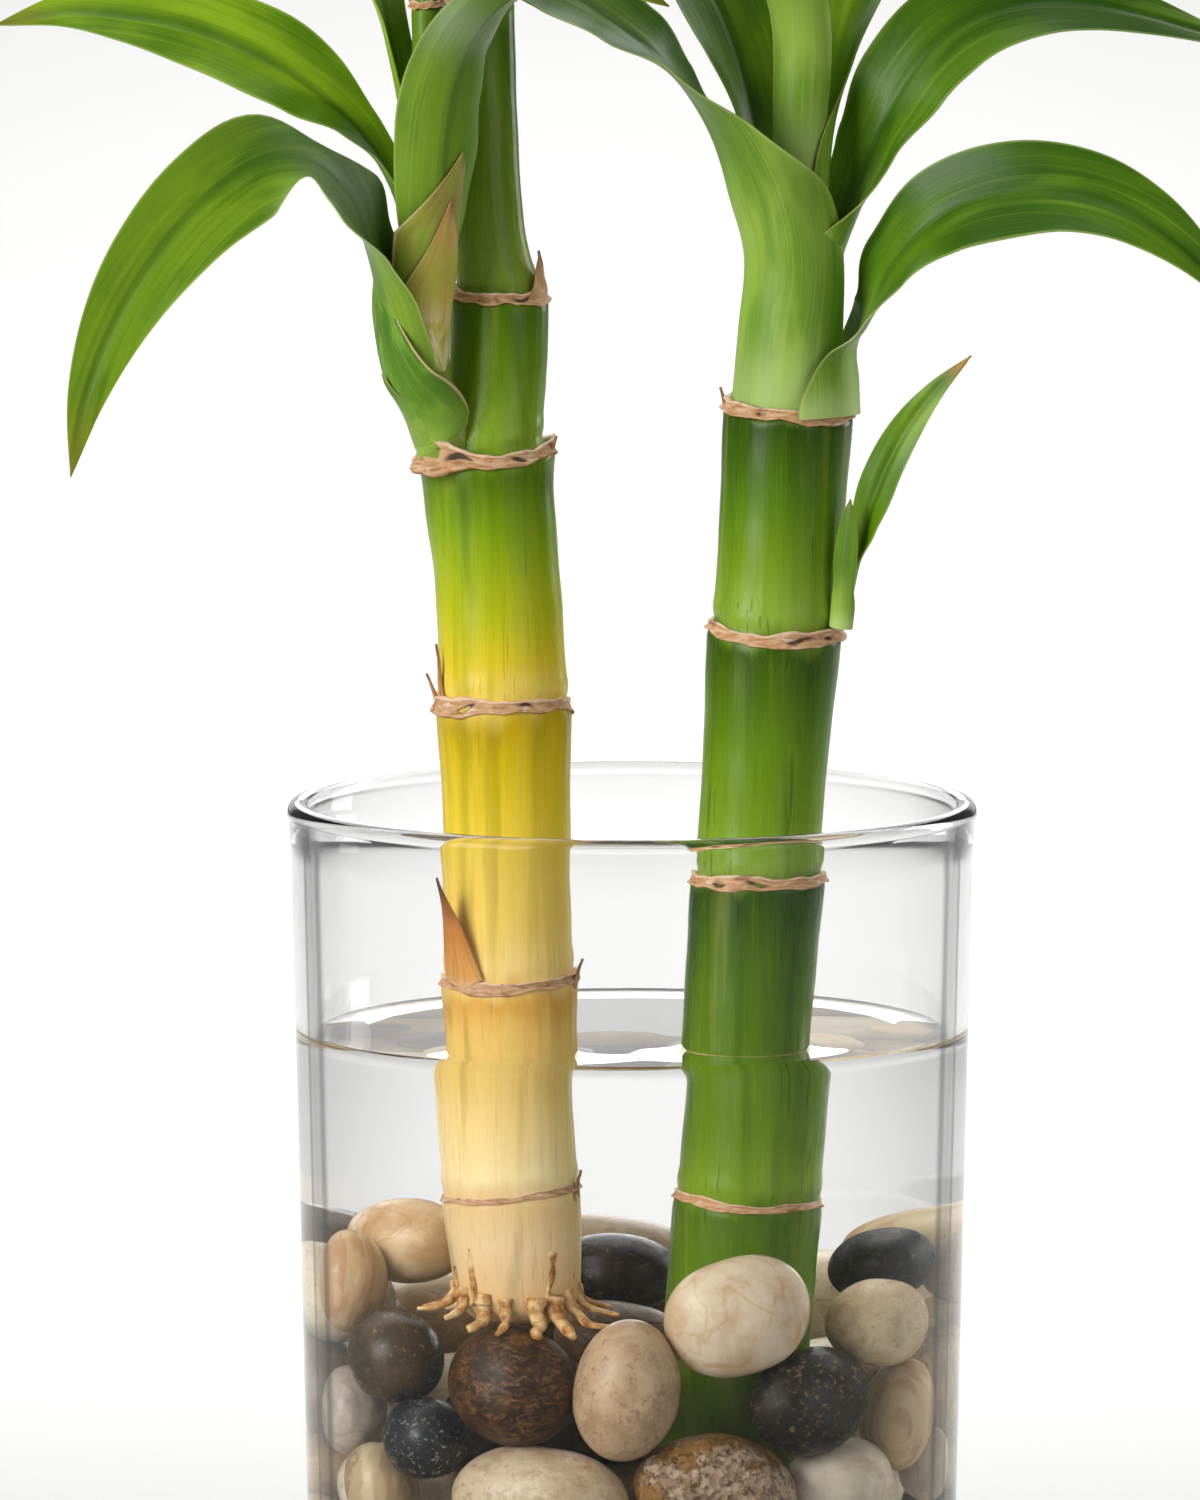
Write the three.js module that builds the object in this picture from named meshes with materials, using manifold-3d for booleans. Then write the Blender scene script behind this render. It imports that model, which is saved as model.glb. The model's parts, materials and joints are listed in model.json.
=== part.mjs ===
// Lucky bamboo: two rooted canes that stand among pebbles and water in a clear glass vase.
// Millimetres, +Z up. The origin is the centre of the vase's foot, and the front faces -Y.
import * as THREE from 'three';
import { mergeVertices } from 'three/addons/utils/BufferGeometryUtils.js';
import Module from 'manifold-3d';

const wasm = await Module();
wasm.setup();

// Driving dimensions of the vase and what fills it.
const vaseHeight = 130;
const footRadius = 47.7;
const topRadius = 50.9;
const wall = 3;
const glassFloor = 8;
const vaseSides = 40;
const waterTop = 95.6;
const waterBottom = 73.5;
const waterSides = 36;
const caneHole = 10.6;
const seat = 0.3;

// Driving dimensions of the plants.
const caneSides = 16;
const shootSides = 10;
const bladeThickness = 0.65;
const bladeStations = 13;
const rootCount = 12;

// The way that each stem's axis takes, as [x, y, z] from the root end up.
const yellowAxis = [
  [-14.6, -26.5, 50], [-15.6, -27, 66], [-17.4, -27.5, 95], [-18.7, -27.8, 137], [-19.7, -27.6, 163],
  [-21.4, -27, 184], [-19.8, -25.6, 196], [-19.7, -24.6, 208], [-21.6, -23.8, 219], [-22.6, -22.4, 245],
  [-22.4, -20.8, 270], [-22, -20, 300],
];
const greenAxis = [
  [11.6, -15.4, 30], [14, -19.2, 64], [16.5, -20.5, 95], [20, -20.2, 143], [23.1, -19, 190],
  [24.2, -18.3, 215], [25.2, -17.5, 245], [25.6, -16.6, 275], [25.6, -16, 310],
];
const shootAxis = [
  [-27, -31, 182], [-30.4, -34, 192], [-31.4, -35, 203], [-31, -35, 214], [-30.5, -34.6, 226],
  [-30, -34, 240], [-30.2, -33, 252], [-30.6, -31.6, 268], [-30.4, -30, 290],
];

// Each stem's outline, as [height, radius], and its rings, as [height, radius].
const yellowOutline = [
  [56.6, 5.8], [58, 7], [61, 8], [66, 8.9], [74.6, 9.3], [76.6, 9.3], [90, 9.4], [100, 9.7], [105.6, 10],
  [108, 9.4], [122, 9.3], [138, 9.6], [146.6, 10], [149.4, 9.3], [166, 9.2], [179, 9.6], [183.8, 9.9],
  [186.4, 7.6], [196, 7.1], [207, 7.2], [209.4, 5.9], [220, 5.6], [250.8, 5.3], [253, 3.2], [261.4, 3.1],
  [262.4, 2.5], [269.6, 2.4], [270.6, 2], [280, 1.6], [290, 0.4],
];
const yellowRings = [[75.6, 9.9], [106.8, 10.5], [147.9, 10.6], [185, 10.4], [208.2, 7.7], [252, 5.8]];
const greenOutline = [
  [32, 8.4], [33.5, 9.2], [60, 9.5], [72.4, 9.6], [75, 9.3], [93.4, 9.4], [95.6, 9.4], [112, 9.7],
  [120.4, 9.9], [122.8, 9.1], [140, 9.3], [156.2, 9.9], [158.8, 9], [175, 9.2], [189.6, 9.5], [191.2, 6.2],
  [199.6, 6.2], [200.4, 4.9], [209.4, 4.9], [210.2, 4.1], [218.2, 4.1], [219, 3.3], [234, 3.4], [246, 3.1],
  [248, 2.8], [266, 2.4], [276, 1.7], [285, 0.4],
];
const greenRings = [[73.7, 9.9], [94.4, 9.7], [121.6, 10.2], [157.6, 10.5], [190.5, 9.8]];
const shootOutline = [
  [182, 3.4], [199.6, 3.45], [200.6, 2.95], [212, 2.95], [213, 2.4], [250.8, 2.4], [253.4, 1.8], [264, 1.6],
  [277, 0.4],
];
const shootRings = [[252, 3.3]];
const ringHalfHeight = 0.6;

// Dry tips of old sheaths on the rings, as
// [stem, height, degrees round the stem, length, lean out, half width].
const dryTips = [
  ['yellow', 107.4, 236, 13.5, 1.6, 2.6], ['yellow', 106.8, 352, 3.6, 1.2, 1.2],
  ['yellow', 75.6, 350, 4.4, 0.5, 1.1], ['yellow', 148, 188, 4.4, 1.4, 1.3],
  ['yellow', 149, 205, 9.5, 0.5, 1], ['yellow', 208.2, 350, 6, 1.6, 1.2],
  ['yellow', 185, 352, 3.2, 0.8, 1.1], ['green', 158, 16, 3, 1.2, 1.6],
  ['green', 190.8, 176, 2.6, 0.8, 1.2],
];

// Leaves. A sheath clasps its stem from base to clasp, turned to face turn degrees round it, as
// [radius, half angle in degrees]; the spine then runs on freely to the tip. bank turns the blade round
// its spine from lying face up, in degrees, at the clasp and at each free point. half is [neck, widest].
const leaves = [
  {
    name: 'green_leaf_low_right', stem: greenAxis, base: 191.7, clasp: 199.6, turn: -10, sheath: [9.5, 72],
    half: [3.4, 7.8], wave: 0.6, strips: 3,
    spine: [[35, -22.2, 204.6], [38.6, -23.6, 212.4], [46, -25.6, 220.2], [57, -28, 223.8],
      [67, -30, 223.4], [75.6, -31.6, 220], [83.6, -33, 213.8], [90.4, -34, 205.4]],
    bank: [2, 18, 40, 58, 66, 62, 54, 48, 50],
  },
  {
    name: 'green_leaf_left', stem: greenAxis, base: 192.3, clasp: 213, turn: 192, sheath: [7.4, 148],
    half: [4.6, 8.4], wave: 0.5, strips: 4,
    spine: [[14.8, -21.4, 222], [11.8, -22.6, 232], [6.4, -22.6, 240.4], [-1, -20.4, 246.6],
      [-9, -16, 251.6], [-17, -10.4, 254.6], [-25, -4.4, 254.4], [-33, 2, 249]],
    bank: [0, 4, 0, -16, -34, -44, -46, -40, -36],
  },
  {
    name: 'green_leaf_right', stem: greenAxis, base: 200.8, clasp: 211, turn: 20, sheath: [6.4, 105],
    half: [3.6, 7.6], wave: 0.7, strips: 3,
    spine: [[32.8, -15.4, 220.4], [36, -16.8, 230], [40.6, -17, 239.4], [47, -16, 246.4],
      [55.4, -14, 249.8], [65, -11.6, 250.2], [75, -9.4, 248.2], [84.6, -7.4, 245.2], [94, -6, 242]],
    bank: [0, 6, 24, 44, 56, 56, 48, 42, 40, 44],
  },
  {
    name: 'green_leaf_back_left', stem: greenAxis, base: 210.6, clasp: 221, turn: 150, sheath: [5.4, 100],
    half: [3.4, 8], wave: 0.6, strips: 3,
    spine: [[18.2, -12.4, 230], [16.2, -8, 240], [12.4, -2.6, 249.6], [6, 4.4, 257.6], [-2.6, 12, 261.6],
      [-12, 19.6, 260.8], [-21, 26.4, 255], [-28.4, 32, 245.6]],
    bank: [0, -8, -16, -20, -20, -18, -14, -10, -8],
  },
  {
    name: 'green_leaf_back_right', stem: greenAxis, base: 219.4, clasp: 229, turn: 40, sheath: [4.5, 100],
    half: [3.4, 8], wave: 0.5, strips: 2,
    spine: [[28.8, -8, 239], [31, -2.2, 250], [35.6, 4.6, 260.6], [43, 12, 268.6], [52, 19.6, 272.6],
      [61, 27, 271], [69, 33.6, 263.6]],
    bank: [0, 12, 20, 20, 16, 12, 8, 6],
  },
  {
    name: 'green_leaf_top_front', stem: greenAxis, base: 236, clasp: 245, turn: 256, sheath: [4.3, 90],
    half: [3, 7.4], wave: 0.5, strips: 2,
    spine: [[23.2, -25, 255], [21.2, -30, 267], [18, -36.6, 276.6], [13.6, -45, 281.6], [9, -54, 280.6],
      [5, -62.6, 273.4], [2.4, -69.6, 262]],
    bank: [0, 4, 8, 10, 10, 8, 6, 4],
  },
  {
    name: 'green_leaf_top_back', stem: greenAxis, base: 248.4, clasp: 257, turn: 96, sheath: [3.8, 85],
    half: [2.8, 7], wave: 0.5, strips: 2,
    spine: [[24.4, -8.4, 268], [23, -1.4, 280], [20.6, 8, 289], [18, 18.6, 293], [15.4, 29.6, 290.6],
      [13, 39.6, 281.4]],
    bank: [0, 4, 8, 10, 8, 6, 4],
  },
  {
    name: 'green_leaf_top_right', stem: greenAxis, base: 259.4, clasp: 266, turn: 335, sheath: [3.3, 78],
    half: [2.6, 6.8], wave: 0.5, strips: 2,
    spine: [[31, -18.8, 276], [35.2, -21.4, 286], [42, -25, 293.4], [50.4, -29, 295.6], [59, -33, 291.6],
      [66.6, -36.6, 282.6]],
    bank: [0, 4, 8, 10, 10, 8, 6],
  },
  {
    name: 'green_shoot_leaf_long', sheath: [2.4, 65], share: 0.12, half: [1.4, 3.1], wave: 0.2, strips: 2,
    spine: [[31.8, -23.2, 158.6], [32.9, -24.2, 166], [34.4, -25.2, 173.4], [36.8, -26, 181],
      [40.2, -26.8, 188], [44.6, -27.6, 194], [50, -28.4, 199.4]],
    turn: 0, bank: [-16, 10, 40, 64, 70, 66, 58],
  },
  {
    name: 'green_shoot_leaf_short', sheath: [2, 70], share: 0.3, half: [1.5, 1.9], wave: 0, strips: 2,
    spine: [[30.4, -26.4, 158.6], [31, -27.2, 165], [31.6, -27.6, 171.4], [32.2, -27.6, 178]],
    turn: 250, bank: [0, -4, -6, -6],
  },
  {
    name: 'side_leaf_drooping', stem: shootAxis, base: 188.8, clasp: 200, turn: 196, sheath: [4.5, 104],
    half: [3, 8], wave: 0.9, strips: 3,
    spine: [[-37, -38.2, 208], [-38.6, -40.4, 216], [-41.6, -42.6, 224.4], [-46.8, -43.4, 229.8],
      [-54, -44.6, 229.8], [-62.2, -45.4, 224.6], [-69.6, -45.4, 216.4], [-75.8, -45, 206.4],
      [-80.2, -44.2, 195], [-82.6, -43.4, 183]],
    bank: [-2, -6, -20, -46, -70, -80, -82, -80, -78, -76, -74],
  },
  {
    name: 'side_leaf_high_left', stem: shootAxis, base: 213.6, clasp: 220.4, turn: 172, sheath: [3.4, 90],
    half: [2.6, 7.6], wave: 0.6, strips: 2,
    spine: [[-36.4, -31, 227.4], [-40.8, -29, 233.6], [-47, -27.4, 239], [-54.8, -25.6, 243.8],
      [-64, -24, 247.4], [-74, -22.6, 249.4], [-84, -21.4, 249.8], [-94, -20.4, 247.6]],
    bank: [0, -16, -36, -52, -60, -62, -60, -56, -52],
  },
  {
    name: 'side_leaf_front', stem: shootAxis, base: 201.4, clasp: 211, turn: 302, sheath: [3.9, 82],
    half: [4, 7.6], wave: 0.4, strips: 3,
    spine: [[-28.4, -39.4, 220], [-28, -41, 230], [-26.8, -42.2, 239], [-24, -43.4, 247],
      [-18.8, -44.4, 253.4], [-11.4, -45, 257], [-3, -45, 257], [5.4, -44.4, 252.6]],
    bank: [0, -6, -10, -6, 4, 12, 18, 22, 24],
  },
  {
    name: 'side_leaf_upright', stem: shootAxis, base: 226.6, clasp: 232.6, turn: 170, sheath: [3.4, 62],
    half: [2.4, 5.4], wave: 0.3, strips: 2,
    spine: [[-35.6, -31, 246], [-38.4, -27, 258], [-41.6, -22, 270], [-46.4, -15, 280], [-52.6, -7, 285.6],
      [-59.6, 1.4, 285]],
    bank: [0, -12, -20, -24, -22, -16, -12],
  },
  {
    name: 'side_leaf_top', stem: shootAxis, base: 254, clasp: 260, turn: 256, sheath: [2.7, 80],
    half: [2, 6.4], wave: 0.4, strips: 2,
    spine: [[-31.8, -38, 266], [-33.4, -43, 276], [-35.4, -49.4, 284], [-38.6, -58, 288], [-42, -67, 285.4],
      [-45, -75, 277]],
    bank: [0, -4, -8, -8, -6, -4, -2],
  },
  {
    name: 'yellow_leaf_right', stem: yellowAxis, base: 253.4, clasp: 261, turn: 0, sheath: [4.3, 105],
    half: [3, 7.6], wave: 0.6, strips: 3,
    spine: [[-15.4, -22.4, 273], [-9.6, -23.4, 284], [-1, -24.8, 291], [9.6, -26.4, 293],
      [19.6, -28.6, 289.6], [28, -31.2, 281]],
    bank: [0, 8, 18, 24, 28, 30, 32],
  },
  {
    name: 'yellow_leaf_back_left', stem: yellowAxis, base: 262.8, clasp: 269, turn: 140, sheath: [3.5, 88],
    half: [2.8, 7.6], wave: 0.6, strips: 2,
    spine: [[-27.6, -14.6, 278], [-30.6, -8.6, 287], [-34.6, -1, 294], [-39.6, 8, 297.6], [-45, 18, 296.6],
      [-51, 28.6, 289], [-56, 37.4, 276.6]],
    bank: [0, -6, -10, -12, -12, -10, -8, -6],
  },
  {
    name: 'yellow_leaf_back_right', stem: yellowAxis, base: 271, clasp: 277, turn: 55, sheath: [2.9, 82],
    half: [2.6, 7.2], wave: 0.5, strips: 2,
    spine: [[-17.4, -14.4, 286], [-14.4, -9, 293.4], [-10, -1, 300], [-4.6, 8.6, 303.6], [0.6, 18.6, 301.6],
      [5, 28, 293.6]],
    bank: [0, 4, 8, 10, 10, 8, 6],
  },
  {
    name: 'yellow_leaf_front', stem: yellowAxis, base: 278.4, clasp: 283.6, turn: 252, sheath: [2.5, 74],
    half: [2.2, 6.6], wave: 0.4, strips: 2,
    spine: [[-23.6, -26, 291], [-25.4, -31.4, 298.6], [-27.8, -39, 303.2], [-30.4, -47.6, 303],
      [-32.8, -56, 297.6], [-34.6, -62.6, 288.6]],
    bank: [0, -4, -8, -8, -6, -4, -2],
  },
];

// Pebbles that the front shows: [name, [x, y, z], [half width, half depth, half height], tilt, colour].
const shownPebbles = [
  ['white_large', [9.2, -36.5, 54.5], [10.2, 7.4, 8.8], -18, '#cdbfa9'],
  ['brown_speckled', [-19.8, -36, 48.4], [9.4, 7.6, 8.4], 16, '#5f4630'],
  ['taupe', [-4.2, -37, 45.8], [7.4, 6.8, 10.4], 6, '#b29c82'],
  ['charcoal', [27.8, -32.8, 45.6], [8.8, 6.6, 7.9], -14, '#33312e'],
  ['rusty', [9.8, -36, 34.4], [12, 7.6, 9], 14, '#7e5a36'],
  ['beige_large', [-18.6, -35, 30.4], [12.6, 8, 8.4], 4, '#b9a183'],
  ['white_low', [28, -33.5, 28.4], [8, 7, 7.6], -8, '#cfc6b5'],
  ['grey_brown', [-33, -28, 53.4], [8, 6.8, 6.8], 8, '#544b40'],
  ['black_small', [-31.6, -30.5, 40.4], [6.4, 6, 5.8], -12, '#2b2e31'],
  ['banded', [-36.4, -27, 30.6], [6, 5.8, 7.2], -20, '#9a8669'],
  ['pearl', [-40, -18, 43.6], [5.2, 6.2, 6.8], 24, '#c2b8a6'],
  ['cream_veined', [-39, -13, 60.4], [5.2, 6.4, 7.6], 8, '#cdb288'],
  ['honey', [-30.4, -9, 64.2], [7.2, 6.6, 6.2], -10, '#c8a372'],
  ['sand', [34.4, -21, 54], [9, 6.6, 6.8], 12, '#c9b694'],
  ['black_oval', [29.6, -3, 62.6], [7.6, 6, 5.4], -4, '#26282a'],
  ['tan_tall', [37, -20.5, 38.6], [5.8, 6.6, 8.2], 10, '#b59d7e'],
  ['ivory_edge', [43, -7, 34.4], [3.8, 6.2, 5.6], 0, '#cbbfa8'],
  ['slate_back', [-29, 25, 63.6], [9.4, 7, 4.6], 2, '#4e4a43'],
  ['cream_back', [-24.6, 8, 64.6], [6, 6.4, 4.8], 0, '#c9b491'],
  ['black_middle', [-1.6, 11, 64.4], [6.6, 6.4, 5.6], 0, '#2c2b2a'],
  ['walnut_middle', [-1.2, -5, 58.2], [7.4, 6.6, 5.4], 6, '#6b5b49'],
  ['marbled_back', [27.4, 22, 63.6], [10.4, 7.4, 5.4], -6, '#cba878'],
  ['rose_right', [38.6, 7, 60.4], [5.2, 6.6, 5.4], 0, '#a8937f'],
];

// The rest of the bed: rings of pebbles, as [height, ring radius, how many].
const bedRings = [
  [15, 37.5, 11], [15, 16, 4], [29, 38, 11], [29, 17, 5],
  [43, 38, 11], [43, 18, 5], [55, 38, 11], [55, 20, 5], [37, 2, 1], [54, 4, 1],
];
const bedColours = ['#b8a78c', '#5b4f43', '#cabda6', '#8c7d6b', '#37363a', '#a98f6d', '#d2c8b6', '#6f6455'];

// How the loose pebbles are gathered, and how far a shown pebble gives way when another pushes it.
const clusterSize = 4;
const bondDepth = 0.6;
const bondReach = 24;
const shownGive = 0.4;
const reachMargin = 0.6;

// A repeatable draw of numbers from 0 to 1.
let seedState = 20117;
function draw() {
  seedState = (seedState * 1664525 + 1013904223) % 4294967296;
  return seedState / 4294967296;
}

function between(low, high) {
  return low + (high - low) * draw();
}

function smooth(t) {
  const c = Math.min(1, Math.max(0, t));
  return c * c * (3 - 2 * c);
}

// Makes a geometry's shared vertices one, as the solids need them.
function weld(geometry) {
  geometry.deleteAttribute('normal');
  geometry.deleteAttribute('uv');
  return mergeVertices(geometry, 1e-4);
}

function solidOf(geometry) {
  const welded = weld(geometry.index ? geometry.toNonIndexed() : geometry);
  return new wasm.Manifold(new wasm.Mesh({
    numProp: 3,
    vertProperties: Float32Array.from(welded.attributes.position.array),
    triVerts: Uint32Array.from(welded.index.array),
  }));
}

function geometryOf(solid) {
  const mesh = solid.getMesh();
  const geometry = new THREE.BufferGeometry();
  geometry.setAttribute('position', new THREE.BufferAttribute(Float32Array.from(mesh.vertProperties), 3));
  geometry.setIndex(new THREE.BufferAttribute(Uint32Array.from(mesh.triVerts), 1));
  return geometry;
}

// Turns a lathe's Y axis up to Z.
function lathe(profile, sides) {
  const geometry = new THREE.LatheGeometry(profile.map(([r, z]) => new THREE.Vector2(r, z)), sides);
  return geometry.rotateX(Math.PI / 2);
}

// The place of a stem's axis at a height: a smooth curve through the listed points.
function axisAt(axis, z) {
  const last = axis.length - 1;
  let i = 0;
  while (i < last - 1 && axis[i + 1][2] < z) i += 1;
  const a = axis[i];
  const b = axis[i + 1];
  const span = b[2] - a[2];
  const t = (z - a[2]) / span;
  const place = [0, 1].map((k) => {
    const before = axis[Math.max(0, i - 1)];
    const after = axis[Math.min(last, i + 2)];
    const slopeA = (b[k] - before[k]) / (b[2] - before[2]) * span;
    const slopeB = (after[k] - a[k]) / (after[2] - a[2]) * span;
    const h = t * t * t;
    const q = t * t;
    return (2 * h - 3 * q + 1) * a[k] + (h - 2 * q + t) * slopeA + (3 * q - 2 * h) * b[k] + (h - q) * slopeB;
  });
  return new THREE.Vector3(place[0], place[1], z);
}

// A stem: an outline turned round, with its rings, then shifted at each height onto its axis.
function stemGeometry(axis, outline, rings, sides) {
  const points = outline.slice();
  for (const [z, r] of rings) {
    points.push([z - ringHalfHeight, r], [z + ringHalfHeight, r]);
  }
  points.sort((a, b) => a[0] - b[0]);
  const profile = points.map(([z, r]) => [r, z]);
  profile.unshift([0, points[0][0]]);
  profile.push([0, points[points.length - 1][0]]);
  const geometry = weld(lathe(profile, sides));
  const position = geometry.attributes.position;
  for (let i = 0; i < position.count; i += 1) {
    const centre = axisAt(axis, position.getZ(i));
    position.setXY(i, position.getX(i) + centre.x, position.getY(i) + centre.y);
  }
  return geometry;
}

// A tapered tube through the points, closed at both ends.
function taperedTube(points, radii, sides) {
  const curve = new THREE.CatmullRomCurve3(points);
  const steps = points.length + 1;
  const frames = curve.computeFrenetFrames(steps, false);
  const position = [];
  const index = [];
  for (let i = 0; i <= steps; i += 1) {
    const centre = curve.getPointAt(i / steps);
    const radius = THREE.MathUtils.lerp(radii[0], radii[1], i / steps);
    for (let j = 0; j < sides; j += 1) {
      const angle = 2 * Math.PI * j / sides;
      const p = centre.clone().addScaledVector(frames.normals[i], Math.cos(angle) * radius);
      p.addScaledVector(frames.binormals[i], Math.sin(angle) * radius);
      position.push(p.x, p.y, p.z);
    }
  }
  for (let i = 0; i < steps; i += 1) {
    for (let j = 0; j < sides; j += 1) {
      const a = i * sides + j;
      const b = i * sides + (j + 1) % sides;
      index.push(a, b, b + sides, a, b + sides, a + sides);
    }
  }
  const end = steps * sides;
  for (let j = 1; j < sides - 1; j += 1) {
    index.push(0, j + 1, j, end, end + j, end + j + 1);
  }
  return facingOut(position, index);
}

// A geometry from its points and triangles, with every face turned outwards.
function facingOut(position, index) {
  let volume = 0;
  const p = (k) => new THREE.Vector3().fromArray(position, 3 * k);
  for (let i = 0; i < index.length; i += 3) {
    volume += p(index[i]).dot(p(index[i + 1]).cross(p(index[i + 2])));
  }
  if (volume < 0) index.reverse();
  const geometry = new THREE.BufferGeometry();
  geometry.setAttribute('position', new THREE.Float32BufferAttribute(position, 3));
  geometry.setIndex(index);
  return geometry;
}

// A leaf's whole spine, its banks, and the share of its length that clasps the stem.
function leafCourse(leaf) {
  const points = leaf.spine.map((p) => new THREE.Vector3(...p));
  const turn = THREE.MathUtils.degToRad(leaf.turn);
  const out = new THREE.Vector3(Math.cos(turn), Math.sin(turn), 0);
  const level = new THREE.Vector3(-out.y, out.x, 0);
  if (!leaf.stem) return { points, banks: leaf.bank, level, share: leaf.share };
  const heights = [leaf.base, (leaf.base + leaf.clasp) / 2, leaf.clasp];
  const clasped = heights.map((z) => axisAt(leaf.stem, z).addScaledVector(out, leaf.sheath[0]));
  const whole = [...clasped, ...points];
  const length = new THREE.CatmullRomCurve3(whole, false, 'centripetal').getLength();
  const share = (leaf.clasp - leaf.base) / length * 1.1;
  return { points: whole, banks: [0, 0, ...leaf.bank], level, share };
}

// The half width and the curve of a leaf's section at a share s of its length.
// The sheath clasps the stem; the blade swells from its neck and runs out to a point.
function leafSection(leaf, share, s) {
  const [sheathRadius, sheathDegrees] = leaf.sheath;
  const [neck, widest] = leaf.half;
  const sheathHalf = sheathRadius * THREE.MathUtils.degToRad(sheathDegrees);
  const open = smooth(s / share);
  const q = Math.max(0, (s - share) / (1 - share));
  const swell = Math.pow(Math.sin(Math.PI * Math.pow(q, 0.68)), 0.9);
  const root = neck * (1 - q);
  const blade = root + (widest - root) * swell;
  const half = s < share ? THREE.MathUtils.lerp(sheathHalf, neck, open) : blade;
  const neckRadius = Math.max(1.5 * neck, 1.35 * sheathRadius);
  const bladeRadius = Math.max(neckRadius, 3.2 * widest);
  const bladeBend = THREE.MathUtils.lerp(1 / neckRadius, 1 / bladeRadius, smooth(q * 3));
  const bend = THREE.MathUtils.lerp(1 / sheathRadius, bladeBend, open);
  return { half: Math.max(half, 0.35), bend };
}

// A leaf: a thin solid blade carried along its spine. Each station has an outer and an inner row of points
// on an arc across the spine, and the edges ripple by the leaf's wave.
function leafGeometry(leaf) {
  const { points, banks, level, share } = leafCourse(leaf);
  const spine = new THREE.CatmullRomCurve3(points, false, 'centripetal');
  const across = leaf.strips * 2;
  const position = [];
  const index = [];
  for (let i = 0; i <= bladeStations; i += 1) {
    const s = i / bladeStations;
    const t = spine.getUtoTmapping(s);
    const centre = spine.getPoint(t);
    const along = spine.getTangent(t);
    const place = t * (banks.length - 1);
    const from = Math.min(Math.floor(place), banks.length - 2);
    const bank = THREE.MathUtils.degToRad(
      THREE.MathUtils.lerp(banks[from], banks[from + 1], smooth(place - from)));
    const flat = level.clone().addScaledVector(along, -level.dot(along)).normalize();
    const upright = along.clone().cross(flat);
    const side = flat.clone().multiplyScalar(Math.cos(bank)).addScaledVector(upright, Math.sin(bank));
    const inward = along.clone().cross(side);
    const { half, bend } = leafSection(leaf, share, s);
    const settled = smooth((s - share) * 4) * (1 - s);
    const ripple = leaf.wave * Math.sin(s * 19 + points.length) * settled;
    for (const face of [-0.5, 0.5]) {
      for (let j = 0; j <= across; j += 1) {
        const u = (j - leaf.strips) / leaf.strips;
        const angle = u * half * bend;
        const facing = inward.clone().multiplyScalar(Math.cos(angle));
        facing.addScaledVector(side, -Math.sin(angle));
        const p = centre.clone().addScaledVector(side, Math.sin(angle) / bend);
        p.addScaledVector(inward, (1 - Math.cos(angle)) / bend);
        p.addScaledVector(facing, face * bladeThickness + ripple * u * Math.abs(u));
        position.push(p.x, p.y, p.z);
      }
    }
  }
  const row = across + 1;
  const ring = 2 * row;
  for (let i = 0; i < bladeStations; i += 1) {
    for (let j = 0; j < across; j += 1) {
      const a = i * ring + j;
      const b = a + ring;
      index.push(a, a + 1, b + 1, a, b + 1, b);
      index.push(a + row, b + row + 1, a + row + 1, a + row, b + row, b + row + 1);
    }
    const left = i * ring;
    index.push(left, left + ring, left + row, left + row, left + ring, left + ring + row);
    const right = left + across;
    index.push(right, right + row, right + ring, right + row, right + ring + row, right + ring);
  }
  const end = bladeStations * ring;
  for (let j = 0; j < across; j += 1) {
    index.push(j, j + row, j + 1, j + 1, j + row, j + row + 1);
    const e = end + j;
    index.push(e, e + 1, e + row, e + 1, e + row + 1, e + row);
  }
  return facingOut(position, index);
}

// The vase: a tapered cylinder with a thick floor, a rounded foot and a rounded rim.
function vaseRadius(z) {
  return footRadius + (topRadius - footRadius) * z / vaseHeight;
}

function innerRadius(z) {
  return vaseRadius(z) - wall;
}

function vaseGeometry() {
  const profile = [
    [0, 0], [footRadius - 3.4, 0], [footRadius - 1, 0.8], [vaseRadius(2.6), 2.6], [vaseRadius(66), 66],
    [vaseRadius(125.6), 125.6], [topRadius + 0.4, 126.8], [topRadius + 0.5, 128.2], [topRadius - 0.1, 129.5],
    [topRadius - 1.3, vaseHeight], [topRadius - 2.5, 129.5], [topRadius - 3.1, 128.2],
    [innerRadius(125), 125], [innerRadius(66), 66], [innerRadius(13), 13], [innerRadius(10) - 0.8, 9.6],
    [innerRadius(8) - 3.4, glassFloor], [0, glassFloor],
  ];
  return weld(lathe(profile, vaseSides));
}

// The water over the pebbles, with a plain hole for each cane.
function waterGeometry() {
  const profile = [
    [0, waterBottom], [innerRadius(waterBottom) - seat, waterBottom],
    [innerRadius(waterTop) - seat, waterTop], [0, waterTop],
  ];
  let water = solidOf(lathe(profile, waterSides));
  for (const axis of [yellowAxis, greenAxis]) {
    const reach = [waterBottom - 4, (waterBottom + waterTop) / 2, waterTop + 4];
    const hole = stemGeometry(axis, reach.map((z) => [z, caneHole]), [], caneSides);
    water = water.subtract(solidOf(hole));
  }
  return geometryOf(water);
}

// A dry sheath tip: a flat pointed blade that stands up from a ring.
function dryTipGeometry(axis, height, degrees, length, lean, halfWidth) {
  const turn = THREE.MathUtils.degToRad(degrees);
  const out = new THREE.Vector3(Math.cos(turn), Math.sin(turn), 0);
  const cone = new THREE.ConeGeometry(1, 1, 6).translate(0, 0.5, 0).rotateX(Math.PI / 2);
  cone.scale(0.75, halfWidth, length + 1);
  cone.applyMatrix4(new THREE.Matrix4().makeShear(0, 0, 0, 0, lean / (length + 1), 0));
  cone.rotateZ(turn);
  const base = axisAt(axis, height - 1);
  const radius = radiusAt(axis === yellowAxis ? yellowRings : greenRings, height);
  return cone.translate(base.x + out.x * (radius - 0.5), base.y + out.y * (radius - 0.5), base.z);
}

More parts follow.
